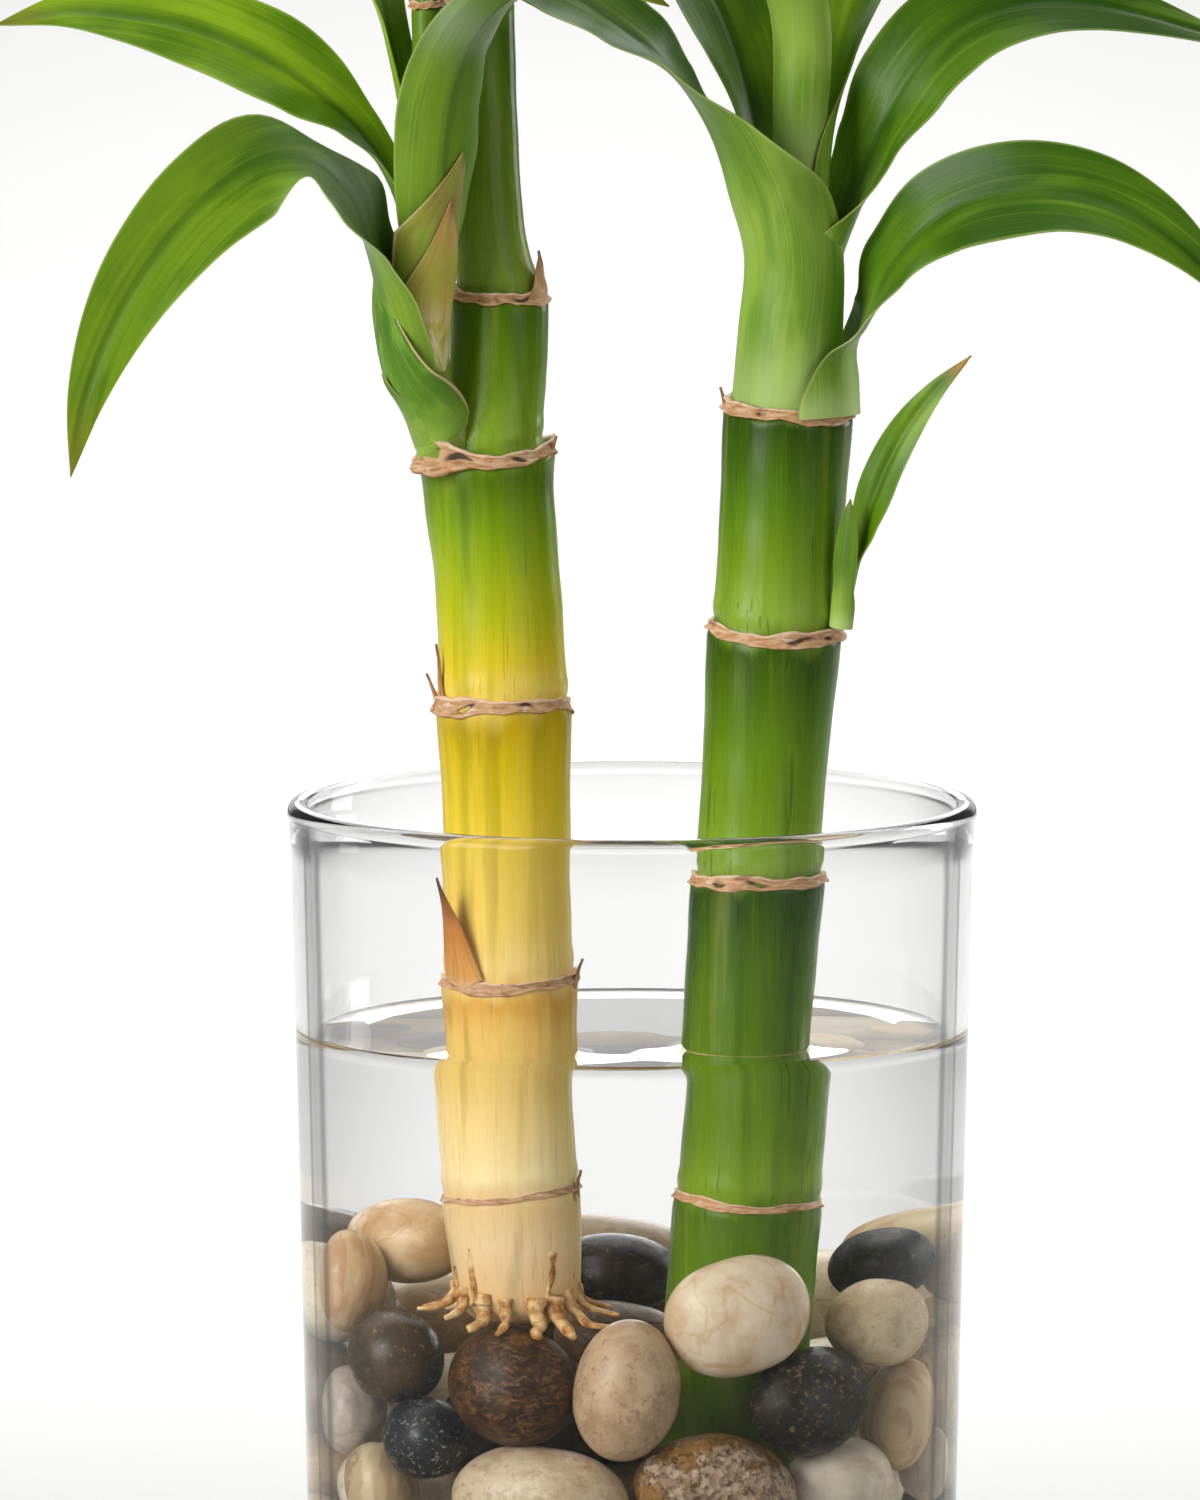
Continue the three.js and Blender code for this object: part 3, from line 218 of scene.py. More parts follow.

# Leaves, as in the solids: a sheath clasps its stem from base to clasp, turned to face turn degrees
# round it, as radius and half angle; the spine then runs on freely to the tip. bank turns the blade
# round its spine from lying face up. half is the half width at the neck and where it is widest. tone
# is how yellow and fresh the green is, from 0 to 1. foot is the sheath's radius at its lower edge. grip
# is where the sheath starts to open and where it is open, in sheath lengths. pinch is where along the
# leaf it is folded narrow, how much and over what share of its length. curl is the radius across it, in
# half widths. painted_sheen is where along the leaf a silvery sheen is painted on, standing for light
# that the blade catches, with its reach and its strength. pale is how pale the sheath is, dry_tip how
# brown the tip.
LEAVES = {
    "green_leaf_low_right": dict(
        stem=GREEN_AXIS, base=189.9, clasp=199.6, turn=-10,
        sheath=[9.5, 72], half=[4.8, 7.8], wave=0.5, tone=0.2, foot=10.45, grip=[0.05, 1.8],
        spine=[[35, -22.2, 204.6], [38.6, -23.6, 212.4], [46, -25.6, 220.2], [57, -28, 223.8],
               [67, -30, 223.4], [75.6, -31.6, 220], [83.6, -33, 213.8], [90.4, -34, 205.4]],
        bank=[2, 18, 40, 58, 66, 62, 54, 48, 50]),
    "green_leaf_left": dict(
        stem=GREEN_AXIS, base=191.0, clasp=213, turn=192,
        sheath=[7.4, 148], half=[4.6, 8.4], wave=0.4, tone=0.2, foot=8.3, grip=[1.0, 2.1],
        pale=0.8,
        spine=[[14.8, -21.4, 222], [11.8, -22.6, 232], [6.4, -22.6, 240.4], [-1, -20.4, 246.6],
               [-9, -16, 251.6], [-17, -10.4, 254.6], [-25, -4.4, 254.4], [-33, 2, 249]],
        bank=[0, 4, 0, -16, -34, -44, -46, -40, -36]),
    "green_leaf_right": dict(
        stem=GREEN_AXIS, base=200.8, clasp=211, turn=20,
        sheath=[6.4, 105], half=[3.6, 7.6], wave=0.6, tone=0.15, grip=[0.8, 2.4],
        spine=[[32.8, -15.4, 220.4], [36, -16.8, 230], [40.6, -17, 239.4], [47, -16, 246.4],
               [55.4, -14, 249.8], [65, -11.6, 250.2], [75, -9.4, 248.2], [84.6, -7.4, 245.2],
               [94, -6, 242]],
        bank=[0, 6, 24, 44, 56, 56, 48, 42, 40, 44]),
    "green_leaf_back_left": dict(
        stem=GREEN_AXIS, base=210.6, clasp=221, turn=150,
        sheath=[5.4, 100], half=[3.4, 8], wave=0.5, tone=0.45, grip=[0.6, 1.8],
        spine=[[18.2, -12.4, 230], [16.2, -8, 240], [12.4, -2.6, 249.6], [6, 4.4, 257.6],
               [-2.6, 12, 261.6], [-12, 19.6, 260.8], [-21, 26.4, 255], [-28.4, 32, 245.6]],
        bank=[0, -8, -16, -20, -20, -18, -14, -10, -8]),
    "green_leaf_back_right": dict(
        stem=GREEN_AXIS, base=219.4, clasp=229, turn=40,
        sheath=[4.5, 100], half=[3.4, 8], wave=0.4, tone=0.85, grip=[0.6, 1.8],
        spine=[[28.8, -8, 239], [31, -2.2, 250], [35.6, 4.6, 260.6], [43, 12, 268.6],
               [52, 19.6, 272.6], [61, 27, 271], [69, 33.6, 263.6]],
        bank=[0, 12, 20, 20, 16, 12, 8, 6]),
    "green_leaf_top_front": dict(
        stem=GREEN_AXIS, base=225.2, clasp=245, turn=256,
        sheath=[4.3, 90], half=[3, 7.4], wave=0.5, tone=0.4, foot=3.8, grip=[0.8, 1.6],
        spine=[[23.2, -25, 255], [21.2, -30, 267], [18, -36.6, 276.6], [13.6, -45, 281.6],
               [9, -54, 280.6], [5, -62.6, 273.4], [2.4, -69.6, 262]],
        bank=[0, 4, 8, 10, 10, 8, 6, 4]),
    "green_leaf_top_back": dict(
        stem=GREEN_AXIS, base=248.4, clasp=257, turn=96,
        sheath=[3.8, 85], half=[2.8, 7], wave=0.5, tone=0.5,
        spine=[[24.4, -8.4, 268], [23, -1.4, 280], [20.6, 8, 289], [18, 18.6, 293],
               [15.4, 29.6, 290.6], [13, 39.6, 281.4]],
        bank=[0, 4, 8, 10, 8, 6, 4]),
    "green_leaf_top_right": dict(
        stem=GREEN_AXIS, base=259.4, clasp=266, turn=335,
        sheath=[3.3, 78], half=[2.6, 6.8], wave=0.5, tone=0.6,
        spine=[[31, -18.8, 276], [35.2, -21.4, 286], [42, -25, 293.4], [50.4, -29, 295.6],
               [59, -33, 291.6], [66.6, -36.6, 282.6]],
        bank=[0, 4, 8, 10, 10, 8, 6]),
    "green_shoot_leaf_long": dict(
        stem=None, share=0.12, turn=0,
        sheath=[2.4, 65], half=[1.4, 3.1], wave=0.2, tone=0.85, dry_tip=1.0,
        spine=[[31.8, -23.2, 158.6], [32.9, -24.2, 166], [34.4, -25.2, 173.4], [36.8, -26, 181],
               [40.2, -26.8, 188], [44.6, -27.6, 194], [50, -28.4, 199.4]],
        bank=[-16, 10, 40, 64, 70, 66, 58]),
    "green_shoot_leaf_short": dict(
        stem=None, share=0.3, turn=250,
        sheath=[2, 70], half=[1.5, 1.9], wave=0.0, tone=0.2,
        spine=[[30.4, -26.4, 158.6], [31, -27.2, 165], [31.6, -27.6, 171.4], [32.2, -27.6, 178]],
        bank=[0, -4, -6, -6]),
    "side_leaf_drooping": dict(
        stem=SHOOT_AXIS, base=188.8, clasp=200, turn=196,
        sheath=[4.5, 104], half=[3.4, 8.4], wave=0.7, tone=0.5, foot=3.1, grip=[0.9, 2.9],
        pinch=[0.41, 0.66, 0.055], painted_sheen=[0.35, 0.075, 1.0], pale=0.3,
        spine=[[-37, -38.2, 208], [-38.6, -40.4, 216], [-41.6, -42.6, 224.4], [-46.8, -43.4, 229.8],
               [-54, -44.6, 229.8], [-62.2, -45.4, 224.6], [-69.6, -45.4, 216.4],
               [-75.8, -45, 206.4], [-80.2, -44.2, 195], [-82.6, -43.4, 183]],
        bank=[-2, -6, -20, -46, -70, -80, -82, -80, -78, -76, -74]),
    "side_leaf_high_left": dict(
        stem=SHOOT_AXIS, base=213.6, clasp=220.4, turn=172,
        sheath=[3.4, 90], half=[2.6, 7.6], wave=0.5, tone=0.8, foot=3.0, grip=[0.5, 1.7],
        pinch=[0.26, 0.42, 0.13], pale=0.6,
        spine=[[-36.4, -31, 227.4], [-40.8, -29, 233.6], [-47, -27.4, 239], [-54.8, -25.6, 243.8],
               [-64, -24, 247.4], [-74, -22.6, 249.4], [-84, -21.4, 249.8], [-94, -20.4, 247.6]],
        bank=[0, -16, -36, -52, -60, -62, -60, -56, -52]),
    "side_leaf_front": dict(
        stem=SHOOT_AXIS, base=201.4, clasp=211, turn=302,
        sheath=[3.9, 82], half=[4, 7.6], wave=0.3, tone=0.4, foot=3.3, grip=[0.7, 1.9],
        curl=1.15, painted_sheen=[0.6, 0.05, 1.0], pale=0.5,
        spine=[[-28.4, -39.4, 220], [-28, -41, 230], [-26.8, -42.2, 239], [-24, -43.4, 247],
               [-18.8, -44.4, 253.4], [-11.4, -45, 257], [-3, -45, 257], [5.4, -44.4, 252.6]],
        bank=[0, -6, -10, -6, 4, 12, 18, 22, 24]),
    "side_leaf_upright": dict(
        stem=SHOOT_AXIS, base=226.6, clasp=232.6, turn=170,
        sheath=[3.4, 62], half=[2.4, 5.4], wave=0.3, tone=0.95, foot=2.8, grip=[0.5, 1.7],
        spine=[[-35.6, -31, 246], [-38.4, -27, 258], [-41.6, -22, 270], [-46.4, -15, 280],
               [-52.6, -7, 285.6], [-59.6, 1.4, 285]],
        bank=[0, -12, -20, -24, -22, -16, -12]),
    "side_leaf_top": dict(
        stem=SHOOT_AXIS, base=254, clasp=260, turn=256,
        sheath=[2.7, 80], half=[2, 6.4], wave=0.4, tone=0.6,
        spine=[[-31.8, -38, 266], [-33.4, -43, 276], [-35.4, -49.4, 284], [-38.6, -58, 288],
               [-42, -67, 285.4], [-45, -75, 277]],
        bank=[0, -4, -8, -8, -6, -4, -2]),
    "yellow_leaf_right": dict(
        stem=YELLOW_AXIS, base=253.4, clasp=261, turn=0,
        sheath=[4.3, 105], half=[3, 7.6], wave=0.6, tone=0.4,
        spine=[[-15.4, -22.4, 273], [-9.6, -23.4, 284], [-1, -24.8, 291], [9.6, -26.4, 293],
               [19.6, -28.6, 289.6], [28, -31.2, 281]],
        bank=[0, 8, 18, 24, 28, 30, 32]),
    "yellow_leaf_back_left": dict(
        stem=YELLOW_AXIS, base=262.8, clasp=269, turn=140,
        sheath=[3.5, 88], half=[2.8, 7.6], wave=0.6, tone=0.4,
        spine=[[-27.6, -14.6, 278], [-30.6, -8.6, 287], [-34.6, -1, 294], [-39.6, 8, 297.6],
               [-45, 18, 296.6], [-51, 28.6, 289], [-56, 37.4, 276.6]],
        bank=[0, -6, -10, -12, -12, -10, -8, -6]),
    "yellow_leaf_back_right": dict(
        stem=YELLOW_AXIS, base=271, clasp=277, turn=55,
        sheath=[2.9, 82], half=[2.6, 7.2], wave=0.5, tone=0.55,
        spine=[[-17.4, -14.4, 286], [-14.4, -9, 293.4], [-10, -1, 300], [-4.6, 8.6, 303.6],
               [0.6, 18.6, 301.6], [5, 28, 293.6]],
        bank=[0, 4, 8, 10, 10, 8, 6]),
    "yellow_leaf_front": dict(
        stem=YELLOW_AXIS, base=278.4, clasp=283.6, turn=252,
        sheath=[2.5, 74], half=[2.2, 6.6], wave=0.4, tone=0.6,
        spine=[[-23.6, -26, 291], [-25.4, -31.4, 298.6], [-27.8, -39, 303.2], [-30.4, -47.6, 303],
               [-32.8, -56, 297.6], [-34.6, -62.6, 288.6]],
        bank=[0, -4, -8, -8, -6, -4, -2]),
}

# Each stem's colours by height, and the heights between which they are laid.
YELLOW_STOPS = [
    (56, "#dcb67e"), (62, "#e5be88"), (68, "#eccc99"), (74, "#e6c386"), (78, "#f7dfa3"), (86, "#f4d488"),
    (94, "#e9c36a"), (100, "#ecbf62"), (105, "#dba33e"), (108, "#f7d482"), (116, "#f0cc5c"),
    (124, "#eac749"), (133, "#dfc12a"), (141, "#cdb111"), (146, "#ba9d0b"), (150, "#e6c95c"),
    (155, "#d6bf25"), (161, "#b3b515"), (168, "#93a70e"), (175, "#739308"), (182, "#506e04"),
    (187, "#7d9c2a"), (196, "#648313"), (206, "#486b08"), (210, "#778f31"), (224, "#617c1b"),
    (248, "#466608"), (256, "#8dab3b"), (285, "#9fbb4b"),
]
GREEN_STOPS = [
    (32, "#668b0f"), (60, "#62850b"), (72, "#4b6e06"), (76, "#799921"), (84, "#60820d"), (96, "#55780d"),
    (106, "#4a6e0a"), (114, "#395a06"), (120, "#2b4a04"), (124, "#829f39"), (130, "#6e8f1d"),
    (140, "#5d8211"), (149, "#496a0a"), (156, "#355404"), (160, "#87a539"), (168, "#6c8d19"),
    (177, "#50760f"), (184, "#3d5e0a"), (189, "#2b4904"), (194, "#9fb35a"), (206, "#849d37"),
    (250, "#89a93f"), (285, "#99b549"),
]
SHOOT_STOPS = [(182, "#86a040"), (200, "#6e8c2c"), (225, "#86a63e"), (250, "#5d7e1c"), (280, "#9cb84a")]
YELLOW_SPAN = [56, 290]
GREEN_SPAN = [32, 285]
SHOOT_SPAN = [182, 280]

# The finish of each pebble that the front shows: its main colour, a second and a third, and which
# pattern they make.
PEBBLE_LOOKS = {
    "white_large": ["#c9ad8b", "#dcc8ab", "#b98a4e", "clouded"],
    "brown_speckled": ["#231205", "#714518", "#a67c3c", "crazed"],
    "taupe": ["#a58766", "#bfa380", "#866a4e", "mottled"],
    "charcoal": ["#1d1b17", "#2e2a23", "#95783f", "flecked"],
    "rusty": ["#6b4a22", "#a98f72", "#38240f", "crystal"],
    "beige_large": ["#b49b7c", "#cdb797", "#94795c", "mottled"],
    "white_low": ["#c2b49c", "#d8ccb6", "#a8946e", "clouded"],
    "grey_brown": ["#2f2313", "#483821", "#86693a", "flecked"],
    "black_small": ["#141517", "#232528", "#8a867e", "flecked"],
    "banded": ["#b39a74", "#6f5233", "#d0bb94", "banded"],
    "pearl": ["#978a79", "#b8ac9a", "#7a6c5d", "clouded"],
    "cream_veined": ["#c2a275", "#a56c34", "#d8c296", "banded"],
    "honey": ["#c4a172", "#dcc298", "#a0692c", "clouded"],
    "sand": ["#b89f7a", "#d2bd98", "#9a7f5c", "mottled"],
    "black_oval": ["#100e0b", "#1d1914", "#5a4a30", "flecked"],
    "tan_tall": ["#b39166", "#83602f", "#d2b98c", "banded"],
    "ivory_edge": ["#b8a688", "#d0c0a4", "#a08a66", "clouded"],
    "slate_back": ["#382c21", "#4d3e30", "#6b5840", "mottled"],
    "cream_back": ["#c0a67e", "#d6c09c", "#9f8054", "clouded"],
    "black_middle": ["#17140f", "#261f18", "#554733", "flecked"],
    "walnut_middle": ["#4c3823", "#765b3c", "#90754c", "crazed"],
    "marbled_back": ["#cdb084", "#b8803c", "#e4d0a8", "banded"],
    "rose_right": ["#a58a6c", "#bda384", "#80654c", "mottled"],
}

# Main and second colours of the loose pebbles, taken in turn.
LOOSE_COLOURS = [
    ["#a68f6e", "#c0aa88"], ["#44362a", "#5f4c38"], ["#bba988", "#d4c4a4"], ["#7b6448", "#96805e"],
    ["#26231f", "#3a352e"], ["#a0825a", "#bfa47a"], ["#c2b292", "#dccfb2"], ["#5a4935", "#766048"],
]

# Pebbles: how uneven they are, how far they are drawn in from their solids, how many waves make them
# uneven, the bounds of their half lengths, and how much nearer points count more.
PEBBLE_UNEVEN = 0.05
CRYSTAL_UNEVEN = 0.12
PEBBLE_INSET = 0.985
WAVES = 9
SHORTEST_ARM = 4.0
LONGEST_ARM = 14.0
NEARNESS = 9

# Soft lamps in metres: name, place, aim, size and glow. The last lights the floor behind.
LAMPS = [
    ["key", (-1.15, -1.0, 0.62), (0, 0, 0.16), (0.8, 1.0), 10.0],
    ["fill", (1.0, -1.1, 0.5), (0, 0, 0.16), (0.8, 0.8), 2.0],
    ["rim", (1.1, 0.8, 0.55), (0, 0, 0.16), (0.4, 0.9), 6.0],
    ["top", (-0.1, 0.1, 1.6), (0, 0, 0.16), (1.2, 1.2), 1.8],
    ["back", (0.0, 1.68, 0.5), (0, 1.681, 0), (0.7, 2.98), 3.15],
]
SURROUND_GLOW = 0.95

# The floor and the camera, in metres. The camera's slant is given by its sine.
FLOOR_REACH = 9.0
FLOOR_LEVEL = -0.0004
CAMERA_DISTANCE = 5.0
CAMERA_SLANT = 0.1167
CAMERA_TARGET = [-0.00475, 0.0, 0.13748]
SEEN_HEIGHT = 0.22275
SENSOR_WIDTH = 36.0

draws = np.random.default_rng(5217)


def smooth(t):
    """Rises softly from 0 to 1: three times the square less twice the cube."""
    c = np.clip(t, 0.0, 1.0)
    return c * c * (3 - 2 * c)


def blend(a, b, share):
    return a + (b - a) * share


def unit(vectors):
    return vectors / np.linalg.norm(vectors, axis=-1, keepdims=True)


def full_turn(count):
    """Even steps of angle once round."""
    return np.linspace(0, 2 * math.pi, count, endpoint=False)


def outward(turn):
    """The level direction at each angle."""
    return np.stack([np.cos(turn), np.sin(turn), np.zeros_like(turn)], axis=-1)


def facing(degrees):
    """The level direction at an angle round a stem, and the level direction square to it."""
    out = outward(math.radians(degrees))
    return out, np.array([-out[1], out[0], 0.0])


def bell(offset, width):
    """A bell curve: e to the power of minus the square of offset over width."""
    return np.exp(-(offset / width) ** 2)


def colour(code):
    """A hex colour as the linear numbers that shaders take."""
    shares = np.array([int(code[k:k + 2], 16) for k in (1, 3, 5)]) / 255
    linear = np.where(shares <= 0.04045, shares / 12.92, ((shares + 0.055) / 1.055) ** 2.4)
    return [float(c) for c in linear] + [1.0]


# Meshes.

def grid_quads(rows, columns, wrap_columns=False, wrap_rows=False):
    """The four corners of each cell of a grid of points that is stored row by row."""
    r = np.arange(rows if wrap_rows else rows - 1)[:, None]
    c = np.arange(columns if wrap_columns else columns - 1)[None, :]
    r_next = (r + 1) % rows
    c_next = (c + 1) % columns
    corners = [r * columns + c, r * columns + c_next, r_next * columns + c_next, r_next * columns + c]
    return np.stack(np.broadcast_arrays(*corners), axis=-1).reshape(-1, 4)


def fan(rim, pole):
    """Triangles from a closed rim of points to a single pole."""
    return np.stack([rim, np.roll(rim, -1), np.full_like(rim, pole)], axis=-1)


def triangles_of(quads, triangles):
    return np.vstack([quads[:, [0, 1, 2]], quads[:, [0, 2, 3]], triangles])


def facing_out(points, quads, triangles):
    """Turns all faces round where the signed volume, a sum over triangles of a . (b x c), is below 0."""
    a, b, c = (points[triangles_of(quads, triangles)[:, k]] for k in range(3))
    if np.einsum("ij,ij->", a, np.cross(b, c)) < 0:
        return quads[:, ::-1], triangles[:, ::-1]
    return quads, triangles


NO_TRIANGLES = np.zeros((0, 3), int)
NO_QUADS = np.zeros((0, 4), int)


def closed_tube(rings):
    """A surface from rings of points, each end closed by a fan to the middle of its ring."""
    rows, columns = rings.shape[:2]
    points = np.vstack([rings.reshape(-1, 3), rings[0].mean(0)[None], rings[-1].mean(0)[None]])
    quads = grid_quads(rows, columns, wrap_columns=True)
    first = np.arange(columns)
    last = first + (rows - 1) * columns
    triangles = np.vstack([fan(first, rows * columns)[:, ::-1], fan(last, rows * columns + 1)])
    return points, quads, triangles


def joined(parts):
    """Puts closed shapes in one mesh. Each part is a shape, as points, quads and triangles, and its marks,
    which are values for its points by name. Gives one shape and its marks."""
    points, quads, triangles, start = [], [], [], 0
    for (part_points, part_quads, part_triangles), _ in parts:
        q, t = facing_out(part_points, part_quads, part_triangles)
        points.append(part_points)
        quads.append(q + start)
        triangles.append(t + start)
        start += len(part_points)
    marks = {key: np.concatenate([part_marks[key] for _, part_marks in parts]) for key in parts[0][1]}
    return (np.vstack(points), np.vstack(quads), np.vstack(triangles)), marks


def put_in_scene(name, data):
    made = bpy.data.objects.new(name, data)
    bpy.context.scene.collection.objects.link(made)
    return made


def piece(name, part, material, node=None, crease=None):
    """Makes a piece at the origin from a shape in millimetres and its marks, in place of a node."""
    (points, quads, triangles), marks = part
    quads, triangles = facing_out(points, quads, triangles)
    mesh = bpy.data.meshes.new(name)
    mesh.from_pydata((points * MM).tolist(), [], quads.tolist() + triangles.tolist())
    for mark, values in marks.items():
        kind, key = ("FLOAT", "value") if values.ndim == 1 else ("FLOAT_COLOR", "color")
        layer = mesh.attributes.new(mark, kind, "POINT")
        layer.data.foreach_set(key, values.astype(np.float32).ravel())
    mesh.polygons.foreach_set("use_smooth", np.ones(len(mesh.polygons), bool))
    if crease:
        mesh.set_sharp_from_angle(angle=math.radians(crease))
    mesh.materials.append(material)
    mesh.update()
    made = put_in_scene(name, mesh)
    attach(made, "root")
    if node:
        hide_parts(node)


# Curves.

def cubic(t, start, start_slope, end, end_slope):
    """The cubic from start to end, over t from 0 to 1, that leaves and arrives with the given slopes."""
    return ((2 * t**3 - 3 * t**2 + 1) * start + (t**3 - 2 * t**2 + t) * start_slope
            + (3 * t**2 - 2 * t**3) * end + (t**3 - t**2) * end_slope)


def axis_at(axis, z):
    """The place of a stem's axis at each height: a cubic in height between the listed points, whose
    slope at each point is that of the line between its neighbours."""
    way = np.array(axis, float)
    last = len(way) - 1
    i = np.clip(np.searchsorted(way[:, 2], z, side="left") - 1, 0, last - 1)
    a, b = way[i], way[i + 1]
    before, after = way[np.maximum(i - 1, 0)], way[np.minimum(i + 2, last)]
    span = b[:, 2] - a[:, 2]
    t = ((z - a[:, 2]) / span)[:, None]
    slope_a = (b - before)[:, :2] / (b - before)[:, 2:] * span[:, None]
    slope_b = (after - a)[:, :2] / (after - a)[:, 2:] * span[:, None]
    return np.column_stack([cubic(t, a[:, :2], slope_a, b[:, :2], slope_b), z])


class Spine:
    """A centripetal Catmull-Rom curve through points: between two points it is a cubic whose slopes
    weigh the neighbouring chords by the square roots of their lengths. share runs along its length."""

    def __init__(self, points):
        self.points = np.array(points, float)
        first = 2 * self.points[0] - self.points[1]
        last = 2 * self.points[-1] - self.points[-2]
        self.padded = np.vstack([first, self.points, last])
        t = np.linspace(0, 1, 401)
        steps = np.linalg.norm(np.diff(self.place(t), axis=0), axis=1)
        self.lengths = np.concatenate([[0], np.cumsum(steps)])
        self.length = self.lengths[-1]
        self.t = t

    def place(self, t):
        count = len(self.points) - 1
        i = np.minimum((t * count).astype(int), count - 1)
        w = (t * count - i)[:, None]
        p = [self.padded[i + k] for k in range(4)]
        d = [np.sqrt(np.linalg.norm(p[k + 1] - p[k], axis=1, keepdims=True)) for k in range(3)]
        m1 = ((p[1] - p[0]) / d[0] - (p[2] - p[0]) / (d[0] + d[1]) + (p[2] - p[1]) / d[1]) * d[1]
        m2 = ((p[2] - p[1]) / d[1] - (p[3] - p[1]) / (d[1] + d[2]) + (p[3] - p[2]) / d[2]) * d[1]
        return cubic(w, p[1], m1, p[2], m2)

    def at_share(self, share):
        """The curve's own parameter, the place and the direction at each share of its length."""
        t = np.interp(share * self.length, self.lengths, self.t)
        ahead = self.place(np.minimum(t + 1e-4, 1))
        behind = self.place(np.maximum(t - 1e-4, 0))
        return t, self.place(t), unit(ahead - behind)


# Stems.

def stem_radius(outline, rings, z):
    """The outline's radius, rounded by a running mean over 1 mm, with the little swelling that shines
    above each ring and the shoulder below it."""
    step, window = 0.1, 11
    fine = np.arange(outline[0][0], outline[-1][0] + step, step)
    padded = np.pad(np.interp(fine, *np.array(outline).T), window // 2, mode="edge")
    rounded = np.convolve(padded, np.ones(window) / window, mode="valid")
    r = np.interp(z, fine, rounded)
    for height, _, half, *_ in rings:
        if half > 0.4:
            above = z - height - half
            r = r + 0.22 * bell(above - 2.0, 1.5) - 0.16 * bell(above + 0.2, 0.9)
    return r


def ring_lift(ring, turn):
    """How far a ring's middle rises at each angle: one slant, one bow and a little unevenness."""
    seed, _, half, slant, slant_to, bow, bow_to = ring
    lift = slant * np.cos(turn - math.radians(slant_to)) + bow * np.cos(2 * (turn - math.radians(bow_to)))
    uneven = 0.16 * np.sin(4 * turn + seed) + 0.09 * np.sin(9 * turn + 2 * seed)
    return lift + uneven * min(1.0, half)


def stem_shape(axis, outline, rings, around, step):
    """A stem: at each height a circle of its outline's radius, made uneven by slow waves round it and
    along it and by fine upright fibres, then shifted onto its axis."""
    low, high = outline[0][0], outline[-1][0]
    z = np.linspace(low, high, int((high - low) / step) + 1)
    grid_z, grid_turn = np.meshgrid(z, full_turn(around), indexing="ij")
    follow = sum(bell(grid_z - ring[0], 6.0) * ring_lift(ring, grid_turn) for ring in rings)
    radius = stem_radius(outline, rings, (grid_z - follow).clip(low, high))
    slow = (0.07 * np.sin(2 * grid_turn + 0.045 * grid_z) + 0.05 * np.sin(3 * grid_turn - 0.07 * grid_z)
            + 0.04 * np.sin(grid_z * 0.55 + 2 * grid_turn))
    fibres = (0.014 * np.sin(31 * grid_turn + 0.10 * np.sin(0.2 * grid_z))
              + 0.012 * np.sin(23 * grid_turn + 1.3 + 0.03 * grid_z))
    taper = np.clip(radius / 6, 0.1, 1)
    radius = radius + (slow + fibres) * taper
    return closed_tube(axis_at(axis, z)[:, None, :] + outward(grid_turn) * radius[..., None]), {}


def bumps(places, height, turn):
    """For one ring, the sum over its listed places of a bell curve round each place's angle."""
    total = np.zeros_like(turn)
    for ring_height, degrees, width, *amount in places:
        if ring_height == height:
            away = (turn - math.radians(degrees) + math.pi) % (2 * math.pi) - math.pi
            total += (amount[0] if amount else 1.0) * bell(away, math.radians(width))
    return total


def ring_shape(axis, ring):
    """A papery ring: a band swept round the stem, with a rounded lip along its lower and its upper edge
    and a shallow groove between them. Its height, lips and groove vary slowly with the angle, more so
    at its folds, and its hollows are sunk. It is marked by the place across it and by how sunk it is."""
    z, radius, half = ring[:3]
    turn = full_turn(RING_SIDES)
    v = np.linspace(-1, 1, 13)[:, None]
    seed = z * 1.7
    folds = bumps(RING_FOLDS, z, turn)
    height = half * (1 + 0.2 * np.sin(2 * turn + seed) + 0.16 * np.sin(5 * turn + 2 * seed)
                     + 0.09 * np.sin(11 * turn + seed) + 0.05 * np.sin(19 * turn) + 0.5 * folds)
    lip = LIP_HEIGHT + 0.07 * np.sin(3 * turn + seed) + 0.05 * np.sin(8 * turn + 2.1 * seed) + folds
    groove = (GROOVE_DEPTH + 0.06 * np.sin(2 * turn + 1.3 * seed) + 0.05 * np.sin(7 * turn + seed)
              - 0.6 * folds)
    sunk = bumps(RING_HOLLOWS, z, turn) * bell(v - 0.3 * np.sin(9 * turn + seed), 0.34)
    creases = 0.012 * (np.sin(43 * turn + seed) + np.sin(67 * turn + 2 * np.sin(5 * turn)))
    creases = creases + 0.12 * folds * np.sin(17 * turn + 4 * v)
    thin = min(1.0, half / 0.7)
    edge = smooth((np.abs(v) - 0.35) / 0.45)
    profile = (RING_THICKNESS + lip * edge - groove * (1 - edge) - HOLLOW_DEPTH * sunk + creases) * thin
    outer = radius + profile + blend(0.1, -0.4 * thin, smooth((v + 1) / 2))
    outer[0] -= 0.3
    outer[-1] -= 0.24
    r = np.vstack([outer] + [np.full(RING_SIDES, radius - inside) for inside in RING_INSIDE])
    rise = np.vstack([v * height, height * 0.5, -height * 0.5])
    level = z + ring_lift(ring, turn) + 0.3 * folds + rise
    centre = axis_at(axis, level.ravel()).reshape(*level.shape, 3)
    points = (centre + outward(turn) * r[..., None]).reshape(-1, 3)
    quads = grid_quads(len(r), RING_SIDES, wrap_columns=True, wrap_rows=True)
    across = np.repeat(np.append(v.ravel(), [0.5, -0.5]), RING_SIDES)
    marks = {"across": across, "sunk": np.append(sunk, np.zeros(2 * RING_SIDES))}
    return (points, quads, NO_TRIANGLES), marks


